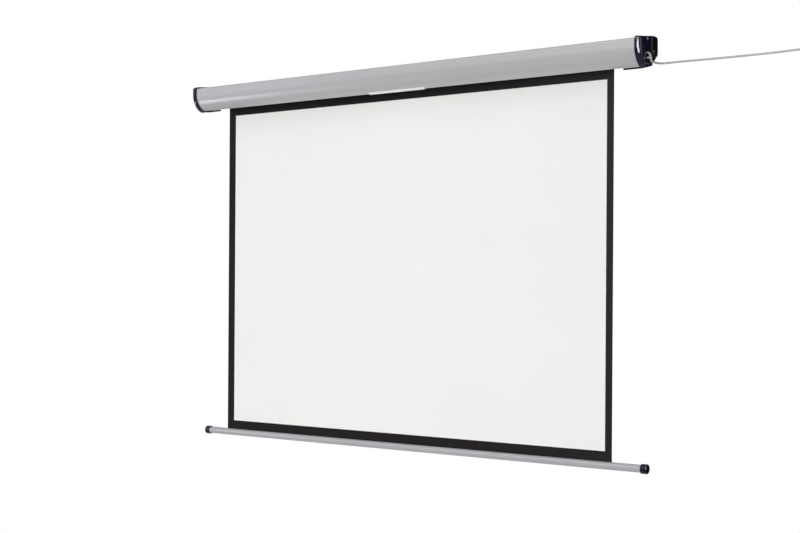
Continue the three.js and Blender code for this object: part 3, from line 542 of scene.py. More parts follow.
# A smooth line through the points, with several steps between each two
def smoothed(points, steps=6):
    line = [Vector(points[0])]
    for i in range(len(points) - 1):
        a, b = Vector(points[i]), Vector(points[i + 1])
        before = Vector(points[i - 1]) if i else a * 2 - b
        after = Vector(points[i + 2]) if i + 2 < len(points) else b * 2 - a
        k0, k1, k2 = ((q - p).length ** 0.5 for p, q in ((before, a), (a, b), (b, after)))
        leave = ((a - before) / k0 - (b - before) / (k0 + k1) + (b - a) / k1) * k1
        arrive = ((b - a) / k1 - (after - a) / (k1 + k2) + (after - b) / k2) * k1
        for step in range(1, steps + 1):
            t = step / steps
            line.append(a * (2 * t**3 - 3 * t**2 + 1) + leave * (t**3 - 2 * t**2 + t)
                + b * (3 * t**2 - 2 * t**3) + arrive * (t**3 - t**2))
    return line


def cordPoints():
    count = round(cord["turns"] * cord["stepsInTurn"])
    line = smoothed([(x + cord["capEnd"], y, z) for x, y, z in cord["route"]])
    line += [coilPoint(i / cord["stepsInTurn"]) for i in range(count + 1)]
    tail = smoothed([(x + coilX, y, z + coilZ) for x, y, z in cord["tail"]])
    return line + tail[1:]


cordLine = cordPoints()
cordLength = sum((b - a).length for a, b in zip(cordLine, cordLine[1:]))
cordCurve = bpy.data.curves.new("mainsLead", "CURVE")
cordCurve.dimensions = "3D"
cordCurve.bevel_depth = cord["radius"]
cordCurve.bevel_resolution = 4
cordCurve.use_fill_caps = True
spline = cordCurve.splines.new("POLY")
spline.points.add(len(cordLine) - 1)
for point, place in zip(spline.points, cordLine):
    point.co = (*place, 1)
spline.use_smooth = True
cordCurve.materials.append(finishes["cord_grey"])
mainsLead = bpy.data.objects.new("mainsLead", cordCurve)
scene.collection.objects.link(mainsLead)
settle(mainsLead, "housing", "cord_grey", "mains_cord", "cord_coil", "cord_tail")
print(f"lead laid: {cordLength:.3f} m")

# What the lead carries: its plug and pins
plug = {
    "right": 0.034, "forward": -0.0205, "below": 0.074,  # its top, from the coil's middle
    "radius": 0.0185, "length": 0.042, "faceLength": 0.016, "edge": 0.002,
    "waist": [(0.0139, -0.0234), (0.013, -0.0214), (0.0124, -0.019), (0.0118, -0.0165)],  # radius, place
    "rings": 5, "firstRing": -0.0145, "ringPitch": 0.003,  # the neck's bend relief
    "ringRadius": 0.0088, "ringFall": 0.0009,  # each ring is smaller than the last
    "ring": [(0.0, -0.0006), (0.0, 0.0008), (-0.0016, 0.0011), (-0.0016, 0.0020)],
    "throat": 0.0042, "throatPlace": -0.0003,
    "pinRadius": 0.0024, "pinLength": 0.019, "pinSpacing": 0.019, "pinRound": 0.0012, "pinSink": 0.0002,
}
plugTop = Vector((coilX + plug["right"], plug["forward"], coilZ - plug["below"]))


def makePlug():
    low, edge, top = -plug["length"], plug["edge"], plug["throatPlace"]
    profile = [(0, low), *arcPoints(plug["radius"] - edge, low + edge, edge, -90, 0)]
    profile += arcPoints(plug["radius"] - edge, low + plug["faceLength"] - edge, edge, 0, 60)
    profile += plug["waist"]
    for k in range(plug["rings"]):
        place, girth = plug["firstRing"] + plug["ringPitch"] * k, plug["ringRadius"] - plug["ringFall"] * k
        profile += [(girth + out, place + along) for out, along in plug["ring"] if place + along < top]
    profile += [(plug["throat"], top), (0, top)]
    return polished(turned("plugBody", profile, "z", plugTop, finishes["cord_grey"]), 40)


def makePins():
    radius, length, edge, sink = (plug[key] for key in ("pinRadius", "pinLength", "pinRound", "pinSink"))
    profile = [(0, -length), *arcPoints(radius - edge, edge - length, edge, -90, 0)]
    profile += [(radius, sink), (0, sink)]
    pins = []
    for i, side in enumerate((-1, 1)):
        place = plugTop + Vector((side * plug["pinSpacing"] / 2, 0, -plug["length"]))
        pin = polished(turned(f"plugPin{i + 1}", profile, "z", place, finishes["zinc_screw"], 24))
        pins.append(settle(pin, "housing", "zinc_screw", f"plug_pin_{i + 1}"))
    return pins


plugBody = settle(makePlug(), "housing", "cord_grey", "plug_body")
plugPins = makePins()
print("plug made")

# Geometry Nodes helpers: a tree with named inputs, and its result as a plain mesh
def geometryGraph(name, inputs):
    tree = bpy.data.node_groups.new(name, "GeometryNodeTree")
    tree.interface.new_socket("Geometry", in_out="INPUT", socket_type="NodeSocketGeometry")
    for inputName, kind in inputs.items():
        tree.interface.new_socket(inputName, in_out="INPUT", socket_type="NodeSocket" + kind)
    tree.interface.new_socket("Geometry", in_out="OUTPUT", socket_type="NodeSocketGeometry")
    graph = Graph(tree)
    graph.node("NodeGroupInput")
    start = tree.nodes[0]
    graph.inputs = {socket.name: Wire(graph, socket) for socket in start.outputs if socket.name}
    return graph


def closeGraph(graph, geometry):
    real = graph.node("GeometryNodeRealizeInstances", {}, {"Geometry": geometry})
    dressed = graph.node("GeometryNodeSetMaterial", {},
        {"Geometry": real, "Material": graph.inputs["Finish"]})
    graph.node("NodeGroupOutput", {}, {"Geometry": dressed})
    return graph.tree


def grown(piece, tree, values):
    modifier = piece.modifiers.new(tree.name, "NODES")
    modifier.node_group = tree
    for item in tree.interface.items_tree:
        if item.in_out == "INPUT" and item.name in values:
            modifier[item.identifier] = values[item.name]
    return baked(piece)


# Pushes a flat outline along X and closes it at both ends
def extrusionTree():
    graph = geometryGraph("extrusion", {"Start": "Float", "Length": "Float", "Finish": "Material"})
    start = graph.node("ShaderNodeCombineXYZ", {}, {"X": graph.inputs["Start"]})
    length = graph.node("ShaderNodeCombineXYZ", {}, {"X": graph.inputs["Length"]})
    moved = graph.node("GeometryNodeTransform", {},
        {"Geometry": graph.inputs["Geometry"], "Translation": start})
    pushed = graph.node("GeometryNodeExtrudeMesh", {"mode": "FACES"},
        {"Mesh": moved, "Offset": length, "Individual": False}, "Mesh")
    back = graph.node("GeometryNodeFlipFaces", {}, {"Mesh": moved})
    joined = graph.node("GeometryNodeJoinGeometry", {}, {"Geometry": [pushed, back]})
    welded = graph.node("GeometryNodeMergeByDistance", {}, {"Geometry": joined, "Distance": 1e-6})
    return closeGraph(graph, welded)


extrusion = extrusionTree()


def extruded(name, outlines, start, length, material, angle=30):
    build = bmesh.new()
    for outline in outlines:
        build.faces.new([build.verts.new(point) for point in facing(outline, "x", 0.0)])
    for face in build.faces:
        face.normal_update()
        if face.normal.x < 0:
            face.normal_flip()
    piece = fromMesh(name, build)
    grown(piece, extrusion, {"Start": start, "Length": length, "Finish": material})
    return polished(piece, angle)


# The case: one thin drawn wall with three screw channels
case = {
    "endX": 0.843,
    "front": -0.123, "rear": -0.0425, "bottom": -0.059, "top": 0.018,
    "wall": 0.0016,
    "curve": 0.056, "topRound": 0.006, "rearRound": 0.003,
    "lip": -0.082, "lipHeight": 0.006, "lipSlope": 0.334, "rearOpening": 0.010,
    "channels": [(-0.1179, 0.0129), (-0.0476, 0.0129), (-0.11276, -0.02529)],
    "channelRadius": 0.0042, "channelBore": 0.0019, "channelSlit": 0.0016,
    "edge": 0.0005, "lipRound": 0.001,
}
roller = {"y": -0.0746, "z": -0.020}


# The front curves down and back to the lip, where its skin still slopes
def lowSkin(y, inset=0.0):
    slope = case["lipSlope"]
    return case["bottom"] + (case["lip"] - y) * slope + inset * math.hypot(1, slope)


def caseOutline():
    front, rear, bottom, top, wall = (case[key] for key in ("front", "rear", "bottom", "top", "wall"))
    lip, edge = case["lip"], case["edge"]
    rearEnd = bottom + case["rearOpening"]
    corners = [
        (lip, bottom + case["lipHeight"], edge), (lip - wall, bottom + case["lipHeight"], edge),
        (lip - wall, lowSkin(lip - wall, wall), edge),
        (front + wall, lowSkin(front + wall, wall), case["curve"] - wall),
        (front + wall, top - wall, case["topRound"] - wall),
        (rear - wall, top - wall, case["rearRound"] - wall),
        (rear - wall, rearEnd, edge), (rear, rearEnd, edge),
        (rear, top, case["rearRound"]), (front, top, case["topRound"]),
        (front, lowSkin(front), case["curve"]), (lip, bottom, case["lipRound"]),
    ]
    return rounded(corners, steps=12)


caseOutlines = [caseOutline()]
for y, z in case["channels"]:  # their slits look towards the roller
    towards = math.atan2(roller["z"] - z, roller["y"] - y)
    sizes = (case["channelRadius"], case["channelBore"], case["channelSlit"] / 2)
    caseOutlines.append(slitRing((y, z), *sizes, towards, steps=32))
caseShell = extruded("caseShell", caseOutlines, -case["endX"], 2 * case["endX"], finishes["silver_case"])
settle(caseShell, "housing", "silver_case", "case_extrusion")
print("case drawn")

# The strip over the middle of the lip; its width is measured up the front's skin
guard = {"length": 0.215, "width": 0.012, "thickness": 0.001, "gap": 0.0003, "hook": 0.003, "edge": 0.00035}


# The front's skin moved out and followed up from the lip: its bend, with the radius, and its end
def skinLine(length, out):
    tilt = math.atan(case["lipSlope"])
    straight = (case["lip"] - case["front"]) / math.cos(tilt)
    straight -= case["curve"] * math.tan((math.pi / 2 - tilt) / 2)
    turn = (length - straight) / case["curve"]
    radius = case["curve"] + out
    arm = radius * math.tan(turn / 2)
    bendY = case["lip"] - out * math.sin(tilt) - (straight + arm) * math.cos(tilt)
    bendZ = lowSkin(bendY, -out)
    return (bendY, bendZ, radius), (bendY - arm * math.cos(tilt + turn), bendZ + arm * math.sin(tilt + turn))


def guardOutline():
    gap, thick, edge = guard["gap"], guard["thickness"], guard["edge"]
    near, back = case["lip"] + gap, case["lip"] + gap + thick
    high = case["bottom"] + case["lipHeight"] + gap + thick
    hook, hookLow = case["lip"] - case["wall"] - gap - thick, high - guard["hook"]
    outerBend, outerEnd = skinLine(guard["width"], gap + thick)
    innerBend, innerEnd = skinLine(guard["width"], gap)
    corners = [
        (*outerEnd, edge), outerBend, (back, lowSkin(back, -gap - thick), edge), (back, high, edge),
        (hook, high, edge), (hook, hookLow, edge), (hook + thick, hookLow, edge),
        (hook + thick, high - thick, edge), (near, high - thick, edge), (near, lowSkin(near, -gap), edge),
        innerBend, (*innerEnd, edge),
    ]
    return rounded(corners, steps=4)


guardLength = guard["length"]
lipGuard = extruded("lipGuard", [guardOutline()], -guardLength / 2, guardLength, finishes["white_nylon"])
settle(lipGuard, "housing", "white_nylon", "lip_guard")

# End caps: a sleeve with a rounded-over rim, and a dished end face with two scoops and a small wedge in its
# top edge, a pocket in the right one, and a tongue that reaches in under the case
cap = {
    "start": 0.839, "end": 0.857,
    "front": -0.1265, "rear": -0.039, "bottom": -0.0625, "top": 0.0215,
    "rearRise": 0.012, "heelRise": 0.0105, "heelDepth": 0.037, "heelRound": 0.008,
    "frontRound": 0.013, "curve": 0.0595, "curveFoot": -0.0826, "smallRound": 0.003,
    "wall": 0.003, "mouthEdge": 0.0006, "innerEdge": (0.0004, 0.0006),  # along X, and in
    "rightRim": (0.0165, 0.010), "leftRim": (0.0050, 0.0042),  # how far in along X, and how deep
    "rearRim": 0.0004, "rimFades": (-0.098, -0.122),  # full at the front, small at the rear
    "hollowRound": 0.0095,  # keeps the inside clear of the case's top corner
    "hollowFillet": (0.002, 0.004),  # along X, and in
    "dish": 0.0022,
    "dishSteps": [(0.015, 0.0), (0.03, 0.2), (0.045, 0.7), (0.065, 1.0)],  # shares of the face and the dish
    "crown": 0.0021, "crownSteps": 8, "crownShare": 0.9,  # the share of the face over which it rises
    "tongueLength": 0.060, "tongueFront": -0.067, "tongueRear": -0.061,
    "tongueLow": -0.061, "tongueHigh": -0.056,
    "tongueLowRound": 0.001, "tongueHighRound": 0.0006, "tongueEdge": 0.001, "tongueRoot": 0.0025,
    "pocket": (-0.0856, -0.0636, -0.034, -0.008),  # low Y, high Y, low Z, high Z
    "pocketEdge": 0.0012,
    "scoops": [(-0.099, 0.024, 0.019, 0.0026), (-0.052, 0.027, 0.013, 0.0018)],  # Y, Z, half width, depth
    "wedge": [(-0.084, 0.0245), (-0.0745, 0.008), (-0.065, 0.0245)],  # raised between the scoops
    "wedgeTip": (-0.070, 0.0215), "wedgeRise": 0.0040, "wedgeSink": 0.002,
}


def capCorners(frontRound):
    front, rear, bottom, top = (cap[key] for key in ("front", "rear", "bottom", "top"))
    foot, heelRound, smallRound = cap["curveFoot"], cap["heelRound"], cap["smallRound"]
    return [
        (rear - cap["heelDepth"], bottom, heelRound), (rear, bottom + cap["heelRise"], smallRound),
        (rear, top + cap["rearRise"], smallRound), (front, top, frontRound),
        (front, bottom + (foot - front) * case["lipSlope"], cap["curve"]), (foot, bottom, heelRound),
    ]


# The outline moved in by the inset at the front, and by a share of it towards the rear
def capRing(corners, inset, share):
    return faded(rounded(corners, inset * share), rounded(corners, inset), *cap["rimFades"])


# Stations over a cap's outside and through its hollow, from its mouth, and the steps into its dished face
def capStations(reach, depth):
    start, end, wall, edge = cap["start"], cap["end"], cap["wall"], cap["mouthEdge"]
    outer = [(start, edge), (start + edge / 3, edge / 3), (start + edge, 0.0)]
    outer += roundOver(end, reach, depth, 12)
    deep = end - wall - cap["dish"]
    filletRun, filletIn = cap["hollowFillet"]
    mouthRun, mouthIn = cap["innerEdge"]
    inner = [(deep, wall + filletIn), (deep - filletRun, wall)]
    inner += [(start + mouthRun, wall), (start, wall - mouthIn)]
    steps = [(draw, cap["dish"] * low) for draw, low in cap["dishSteps"]]
    dished = steps[-1][0]
    for k in range(1, cap["crownSteps"] + 1):
        share = k / cap["crownSteps"]
        rise = cap["crown"] * math.sin(math.pi / 2 * share)
        steps.append((dished + (cap["crownShare"] - dished) * share, cap["dish"] - rise))
    return outer, inner, steps


def capShell(name, rim):
    outer, inner, steps = capStations(*rim)
    rear = cap["rearRim"] / rim[1]
    corners = capCorners(cap["frontRound"])
    rings = [facing(capRing(corners, inset, rear), "x", place) for place, inset in outer]
    brink = capRing(corners, rim[1], rear)
    middleY, middleZ = ((min(p[i] for p in brink) + max(p[i] for p in brink)) / 2 for i in (0, 1))
    for draw, low in steps:
        ring = [(y + (middleY - y) * draw, z + (middleZ - z) * draw) for y, z in brink]
        rings.append(facing(ring, "x", cap["end"] - low))
    hollow = drawn(capCorners(cap["hollowRound"]), inner)
    build = bmesh.new()
    rows = addSkin(build, rings + hollow, loop=True)
    lastOuter, firstInner = rows[len(rings) - 1], rows[len(rings)]
    for j, vert in enumerate(lastOuter):  # the end wall is closed by two flat faces, not by the loop's band
        twin = (j + 1) % len(lastOuter)
        build.faces.remove(build.faces.get((vert, lastOuter[twin], firstInner[twin], firstInner[j])))
    build.faces.new(lastOuter)
    build.faces.new(firstInner[::-1])
    return fromMesh(name, tidied(build), finishes["navy_plastic"])


def pocketOutline(inset):
    lowY, highY, lowZ, highZ = cap["pocket"]
    half = (highY - lowY) / 2 - 0.0001  # a little less, so that no two corners meet
    return rounded(boxCorners(lowY, highY, lowZ, highZ, half), inset)


# A ball that leaves a round hollow in the cap's end face
def scoopCutter(y, z, half, depth):
    radius = (half**2 + depth**2) / (2 * depth)
    build = bmesh.new()
    bmesh.ops.create_uvsphere(build, u_segments=96, v_segments=48, radius=radius)
    for vert in build.verts:
        vert.co += Vector((cap["end"] - depth + radius, y, z))
    return fromMesh("cutter", build)


def faceWedge():
    foot = cap["end"] - cap["dish"] - cap["wedgeSink"]
    build = bmesh.new()
    base = [build.verts.new(point) for point in facing(cap["wedge"], "x", foot)]
    peak = build.verts.new((foot + cap["wedgeSink"] + cap["wedgeRise"], *cap["wedgeTip"]))
    build.faces.new(base[::-1])
    for j, vert in enumerate(base):
        build.faces.new((vert, base[(j + 1) % 3], peak))
    return fromMesh("wedge", tidied(build))


def tongueRings():
    front, rear, low, high = (cap["tongue" + key] for key in ("Front", "Rear", "Low", "High"))
    lowRound, highRound, edge = cap["tongueLowRound"], cap["tongueHighRound"], cap["tongueEdge"]
    corners = [(front, low, lowRound), (rear, low, lowRound)]
    corners += [(rear, high, highRound), (front, high, highRound)]
    tip = cap["start"] - cap["tongueLength"]
    stations = [(tip, edge), (tip + edge * 0.4, edge * 0.4), (tip + edge, 0.0)]
    stations.append((cap["start"] + cap["tongueRoot"], 0.0))
    return drawn(corners, stations, steps=4)


# The same piece for the left side
def mirror(piece):
    for vert in piece.data.vertices:
        vert.co.x = -vert.co.x
    piece.data.flip_normals()
    return piece


def makeCap(name, rim, withPocket):
    piece = capShell(name, rim)
    carved(piece, [loft("tongue", tongueRings())], "UNION")
    face = cap["end"] - cap["dish"] + cap["crown"]
    cutters = [scoopCutter(*scoop) for scoop in cap["scoops"]]
    if withPocket:
        deep = face - cap["wall"] - cap["crown"]
        cutters.append(flaredCutter(pocketOutline, "x", face, deep, cap["pocketEdge"]))
    carved(piece, cutters)
    return polished(carved(piece, [faceWedge()], "UNION"), 30)


endCapRight = makeCap("endCapRight", cap["rightRim"], withPocket=True)
endCapLeft = mirror(makeCap("endCapLeft", cap["leftRim"], withPocket=False))
settle(endCapRight, "housing", "navy_plastic", "end_cap_right")
settle(endCapLeft, "housing", "navy_plastic", "end_cap_left")
print("end caps moulded")

# Wall brackets
bracket = {
    "start": 0.839, "end": 0.857,
    "front": -0.0387, "bottom": -0.037, "top": 0.036, "topFall": 0.0025,
    "heelDepth": 0.024, "heelRise": 0.020, "heelRound": 0.004, "corner": 0.011, "smallRound": 0.002,
    "wall": 0.003, "rim": 0.003, "rimFade": 0.012, "mouthEdge": 0.0006,
    "fillet": 0.001, "overrun": 0.004,  # of the hollow: in its corners, and past the open side
    "hang": (0.8465, -0.007, 0.0055, 0.0055, 0.014),  # X, Z, hole radius, slot width, slot length
    "side": (-0.0297, -0.009, 0.0032, 0.0026, -0.011),  # Y, Z and the same
    "sideSlot": (-0.0357, -0.0157, -0.0264, -0.0230), "slotRound": 0.0012,  # low Y, high Y, low Z, high Z
    "edge": 0.0013,
}


def bracketCorners():
    top, bottom, front, heelRound = (bracket[key] for key in ("top", "bottom", "front", "heelRound"))
    return [
        (front, bottom, bracket["smallRound"]), (-bracket["heelDepth"], bottom, heelRound),
        (0.0, bottom + bracket["heelRise"], heelRound), (0.0, top, bracket["corner"]),
        (front, top - bracket["topFall"], bracket["smallRound"]),
    ]


# The front edge stays square, as it lies against the cap
def bracketRing(corners, inset):
    front = bracket["front"]
    return faded(rounded(corners, 0.0, 6), rounded(corners, inset, 6), front, front + bracket["rimFade"])


def sideSlotOutline(inset):
    return rounded(boxCorners(*bracket["sideSlot"], bracket["slotRound"]), inset, 4)


def makeBracket(name):
    end, wall, start, edge = (bracket[key] for key in ("end", "wall", "start", "edge"))
    mouth, fillet, rim = bracket["mouthEdge"], bracket["fillet"], bracket["rim"]
    corners = bracketCorners()
    outer = [(start, mouth), (start + mouth, 0.0)] + roundOver(end, rim, rim, 6)
    piece = loft(name, [facing(bracketRing(corners, i), "x", x) for x, i in outer], finishes["black_metal"])
    inner = [(start - bracket["overrun"], wall), (end - wall - fillet, wall), (end - wall, wall + fillet)]
    return polished(carved(piece, [
        loft("cutter", drawn(corners, inner, steps=6)),
        flaredCutter(lambda i: keyhole(*bracket["hang"], inset=i), "y", 0.0, -wall, edge),
        flaredCutter(lambda i: keyhole(*bracket["side"], inset=i), "x", end, end - wall, edge),
        flaredCutter(sideSlotOutline, "x", end, end - wall, edge),
    ]), 30)


settle(makeBracket("wallBracketRight"), "housing", "black_metal", "wall_bracket_right")
settle(mirror(makeBracket("wallBracketLeft")), "housing", "black_metal", "wall_bracket_left")
print("wall brackets pressed")

# Screws: one cross-head screw, set at each place by Geometry Nodes
screws = {
    "plate": (0.0016, 0.0034, 0.020, 0.0022),  # radius, head radius, length, head height
    "bracket": (0.0020, 0.0038, 0.008, 0.0024),
    "motor": (0.0015, 0.0028, 0.009, 0.0018),
    "plateX": 0.8456, "motorOffset": 0.0161,
    "bracketX": 0.848, "bracketY": -0.0354, "bracketZ": (-0.01725, 0.01475),
    "thread": 0.0007, "core": 0.82, "tip": 0.35,  # the pitch, then shares of the radius
    "head": [(0.94, 0.0), (1.0, 0.12), (1.0, 0.35), (0.9, 0.72), (0.66, 0.93), (0.0, 1.0)],  # shares too
    "wings": [(0.55, 0.14), (0.14, 0.55)],  # the cross, in shares of the head's radius
    "crossFloor": (0.45, 0.6, 0.35), "crossMouth": (1.1, 1.05, 1.1),  # its size, and share of the height
}


def crossHead(radius, headRadius, length, height):
    thread, core = screws["thread"], radius * screws["core"]
    profile = [(0, -length), (radius * screws["tip"], -length)]
    for k in range(int((length - radius) / thread)):
        place = -length + radius + k * thread
        profile += [(core, place), (radius, place + thread * 0.5)]
    profile += [(core, 0), *((headRadius * out, height * up) for out, up in screws["head"])]
    piece = turned("screw", profile, "z", (0, 0, 0), steps=20)
    wings = []
    for long, wide in screws["wings"]:
        a, b = headRadius * long, headRadius * wide
        corners = [(-a, -b), (a, -b), (a, b), (-a, b)]
        wings.append(loft("cutter", [[(x * shareX, y * shareY, height * up) for x, y in corners]
            for shareX, shareY, up in (screws["crossFloor"], screws["crossMouth"])]))
    return carved(piece, wings)


def screwTree():
    graph = geometryGraph("screws", {"Screw": "Object", "Seed": "Int", "Finish": "Material"})
    axis = graph.node("GeometryNodeInputNamedAttribute", {"data_type": "FLOAT_VECTOR"},
        {"Name": "axis"}, "Attribute")
    turn = graph.node("FunctionNodeAlignRotationToVector", {"axis": "Z"}, {"Vector": axis})
    screw = graph.node("GeometryNodeObjectInfo", {}, {"Object": graph.inputs["Screw"]}, "Geometry")
    angle = graph.node("FunctionNodeRandomValue", {"data_type": "FLOAT"},
        {"Min": 0.0, "Max": math.pi / 2, "Seed": graph.inputs["Seed"]}, "Value")
    own = graph.node("ShaderNodeCombineXYZ", {}, {"Z": angle})
    spun = graph.node("FunctionNodeRotateRotation", {"rotation_space": "LOCAL"},
        {"Rotation": turn, "Rotate By": own})
    placed = graph.node("GeometryNodeInstanceOnPoints", {},
        {"Points": graph.inputs["Geometry"], "Instance": screw, "Rotation": spun})
    return closeGraph(graph, placed)


screwGraph = screwTree()


# Places are pairs of a point and the way that a screw's head faces there
def setScrews(name, size, places, nodes, seed):
    mesh = bpy.data.meshes.new(name)
    mesh.from_pydata([place for place, axis in places], [], [])
    attribute = mesh.attributes.new("axis", "FLOAT_VECTOR", "POINT")
    attribute.data.foreach_set("vector", [value for place, axis in places for value in axis])
    piece, screw = link(name, mesh), crossHead(*screws[size])
    grown(piece, screwGraph, {"Screw": screw, "Seed": seed, "Finish": finishes["zinc_screw"]})
    bpy.data.objects.remove(screw)
    settle(polished(piece, 40), "housing", "zinc_screw", *nodes)


sides = {"right": 1, "left": -1}
setScrews("plateScrews", "plate",
    [((side * screws["plateX"], y, z), (side, 0, 0)) for side in sides.values() for y, z in case["channels"]],
    [f"cap_screw_{side}_{i}" for side in sides for i in (1, 2, 3)], seed=3)
setScrews("bracketScrews", "bracket",
    [((side * screws["bracketX"], screws["bracketY"], z), (0, 1, 0))
        for side in sides.values() for z in screws["bracketZ"]],
    [f"bracket_screw_{side}_{i}" for side in sides for i in (1, 2)], seed=7)
setScrews("motorScrews", "motor",
    [((screws["plateX"], roller["y"] + side * screws["motorOffset"], roller["z"]), (1, 0, 0))
        for side in (-1, 1)],
    ["motor_screw_1", "motor_screw_2"], seed=5)
print("screws set")

# The fabric: one sheet, white in its middle, black round it and behind
fabric = {
    "left": -0.7495, "right": 0.7425,
    "viewLeft": -0.7195, "viewRight": 0.7205, "viewTop": -0.080, "viewBottom": -1.160,
    "top": -0.020, "bottom": -1.1918,
    "frontY": -0.04845, "rearY": -0.0478,
    "cell": 0.026,
    "wave": 0.0005, "wavesAcross": 1.7, "wavesDown": 1.1,  # its depth, and waves in a metre
    "travel": 1.12,
}


# Places from stop to stop in even steps, each about one cell
def spread(stops, cell):
    places = [stops[0]]
    for low, high in zip(stops, stops[1:]):
        count = max(1, round(abs(high - low) / cell))
        places += [low + (high - low) * (k + 1) / count for k in range(count)]
    return places


def makeFabric():
    left, right, top, bottom = (fabric[key] for key in ("left", "right", "top", "bottom"))
    viewLeft, viewRight = fabric["viewLeft"], fabric["viewRight"]
    viewTop, viewBottom = fabric["viewTop"], fabric["viewBottom"]
    front, rear = fabric["frontY"], fabric["rearY"]
    across = spread([left, viewLeft, viewRight, right], fabric["cell"])
    down = spread([top, viewTop, viewBottom, bottom], fabric["cell"])
    lastI, lastJ = len(across) - 1, len(down) - 1
    build = bmesh.new()
    flat = build.loops.layers.uv.new("cloth")
    knots = {}
    for y in (front, rear):
        for i, x in enumerate(across):
            for j, z in enumerate(down):
                share = (z - top) / (bottom - top)
                held = math.sin(math.pi * share) ** 0.5 if 0 < share < 1 else 0
                wave = noise.noise(Vector((x * fabric["wavesAcross"], 0, z * fabric["wavesDown"])))
                knots[y, i, j] = build.verts.new((x, y + wave * fabric["wave"] * held, z))
    for i in range(lastI):
        for j in range(lastJ):
            middleX, middleZ = (across[i] + across[i + 1]) / 2, (down[j] + down[j + 1]) / 2
            white = viewLeft < middleX < viewRight and viewBottom < middleZ < viewTop
            face = build.faces.new([knots[front, i + a, j + b] for a, b in ((0, 0), (0, 1), (1, 1), (1, 0))])
            face.material_index = 0 if white else 1
            face = build.faces.new([knots[rear, i + a, j + b] for a, b in ((0, 0), (1, 0), (1, 1), (0, 1))])
            face.material_index = 1
    rim = [(i, 0) for i in range(lastI + 1)] + [(lastI, j) for j in range(1, lastJ + 1)]
    rim += [(i, lastJ) for i in range(lastI - 1, -1, -1)] + [(0, j) for j in range(lastJ - 1, 0, -1)]
    for a, b in zip(rim, rim[1:] + rim[:1]):
        corners = ((front, *a), (front, *b), (rear, *b), (rear, *a))
        build.faces.new([knots[corner] for corner in corners]).material_index = 1
    for face in build.faces:
        face.smooth = True
        for loop in face.loops:
            loop[flat].uv = (loop.vert.co.x, loop.vert.co.z)
    bmesh.ops.recalc_face_normals(build, faces=build.faces)
    piece = fromMesh("fabric", build, finishes["white_vinyl"])
    piece.data.materials.append(finishes["black_fabric"])
    piece.data.set_sharp_from_angle(angle=math.radians(40))
    return piece


screenFabric = makeFabric()
settle(screenFabric, "housing", "black_fabric", "black_backing", "viewing_surface")
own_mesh(screenFabric)

# The turns that stay on the roller, as one wound strip, and the hem round its rod
wound = {"inner": 0.0253, "turns": 1.2, "thickness": 0.00038, "rise": 0.00036, "steps": 96}
hem = {"y": -0.048, "z": -1.1951, "inner": 0.00303, "outer": 0.0034}


# The cloth's map, in metres along X and round an axis
def wrapMap(piece, y, z, radius):
    layer = piece.data.uv_layers.new(name="cloth")
    for loop in piece.data.loops:
        place = piece.data.vertices[loop.vertex_index].co
        layer.data[loop.index].uv = (place.x, math.atan2(place.z - z, place.y - y) * radius)


def makeWraps():
    strips = []
    for x in (fabric["left"], fabric["right"]):
        inner, outer = [], []
        for k in range(round(wound["turns"] * wound["steps"]) + 1):
            angle = math.pi / 2 - 2 * math.pi * k / wound["steps"]
            radius = wound["inner"] + wound["rise"] * k / wound["steps"]
            for line, reach in ((inner, radius), (outer, radius + wound["thickness"])):
                line.append((x, roller["y"] + reach * math.cos(angle), roller["z"] + reach * math.sin(angle)))
        strips.append(inner + outer[::-1])
    piece = loft("fabricTurns", strips, finishes["black_fabric"])
    wrapMap(piece, roller["y"], roller["z"], wound["inner"])
    return polished(piece, 40)


def makeHem():
    inner, outer, left, right = hem["inner"], hem["outer"], fabric["left"], fabric["right"]
    profile = [(inner, left), (outer, left), (outer, right), (inner, right)]
    piece = turned("hemSleeve", profile, "x", (0, hem["y"], hem["z"]), finishes["black_fabric"], 32)
    wrapMap(piece, hem["y"], hem["z"], outer)
    return polished(piece)


fabricTurns = settle(makeWraps(), "roller", "black_fabric", "fabric_wraps")
hemSleeve = settle(makeHem(), "weighted_bar", "black_fabric")
print("fabric hung")

# The bar: a slit tube with a cap on each end
bar = {
    "y": -0.048, "z": -1.2013,
    "left": -0.8465, "right": 0.8525,
    "radius": 0.0113, "wall": 0.0015, "slot": 0.0028,
    "capRadius": 0.014, "capLength": 0.020, "capFloor": 0.0022, "capRound": 0.0035, "capEdge": 0.0008,
    "capGroove": [(0.0, -0.0062), (-0.0005, -0.0059), (-0.0005, -0.0052), (0.0, -0.0049)],
    "capDish": [(0.0072, 0.0), (0.0068, -0.0005), (0.0062, -0.0007), (0.0, -0.0007)],  # radius, place
    "gap": 0.0003, "capLeft": -0.849, "capRight": 0.855,
}
barOutline = slitRing((bar["y"], bar["z"]), bar["radius"], bar["radius"] - bar["wall"], bar["slot"] / 2,
    math.pi / 2, steps=72)
barTube = extruded("barTube", [barOutline], bar["left"], bar["right"] - bar["left"], finishes["silver_bar"])
settle(barTube, "weighted_bar", "silver_bar", "bottom_bar")


# A bar cap: its profile's places run in from its end face
def makeBarCap(name, end, side):
    radius, length, curve, edge = (bar["cap" + key] for key in ("Radius", "Length", "Round", "Edge"))
    inner, floor = bar["radius"] + bar["gap"], bar["capFloor"]
    profile = [(0.0, -floor), (inner, -floor), (inner, -length)]
    profile += arcPoints(radius - edge, edge - length, edge, -90, 0, 4)
    profile += [(radius + out, place) for out, place in bar["capGroove"]]
    profile += arcPoints(radius - curve, -curve, curve, 0, 90, 8) + bar["capDish"]
    spun = [(reach, end + side * place) for reach, place in profile]
    piece = polished(turned(name, spun, "x", (0, bar["y"], bar["z"]), finishes["navy_plastic"], 64))
    settle(piece, "weighted_bar", "navy_plastic", "bar_cap_right" if side > 0 else "bar_cap_left")


makeBarCap("barCapRight", bar["capRight"], 1)
makeBarCap("barCapLeft", bar["capLeft"], -1)
print("bar made")

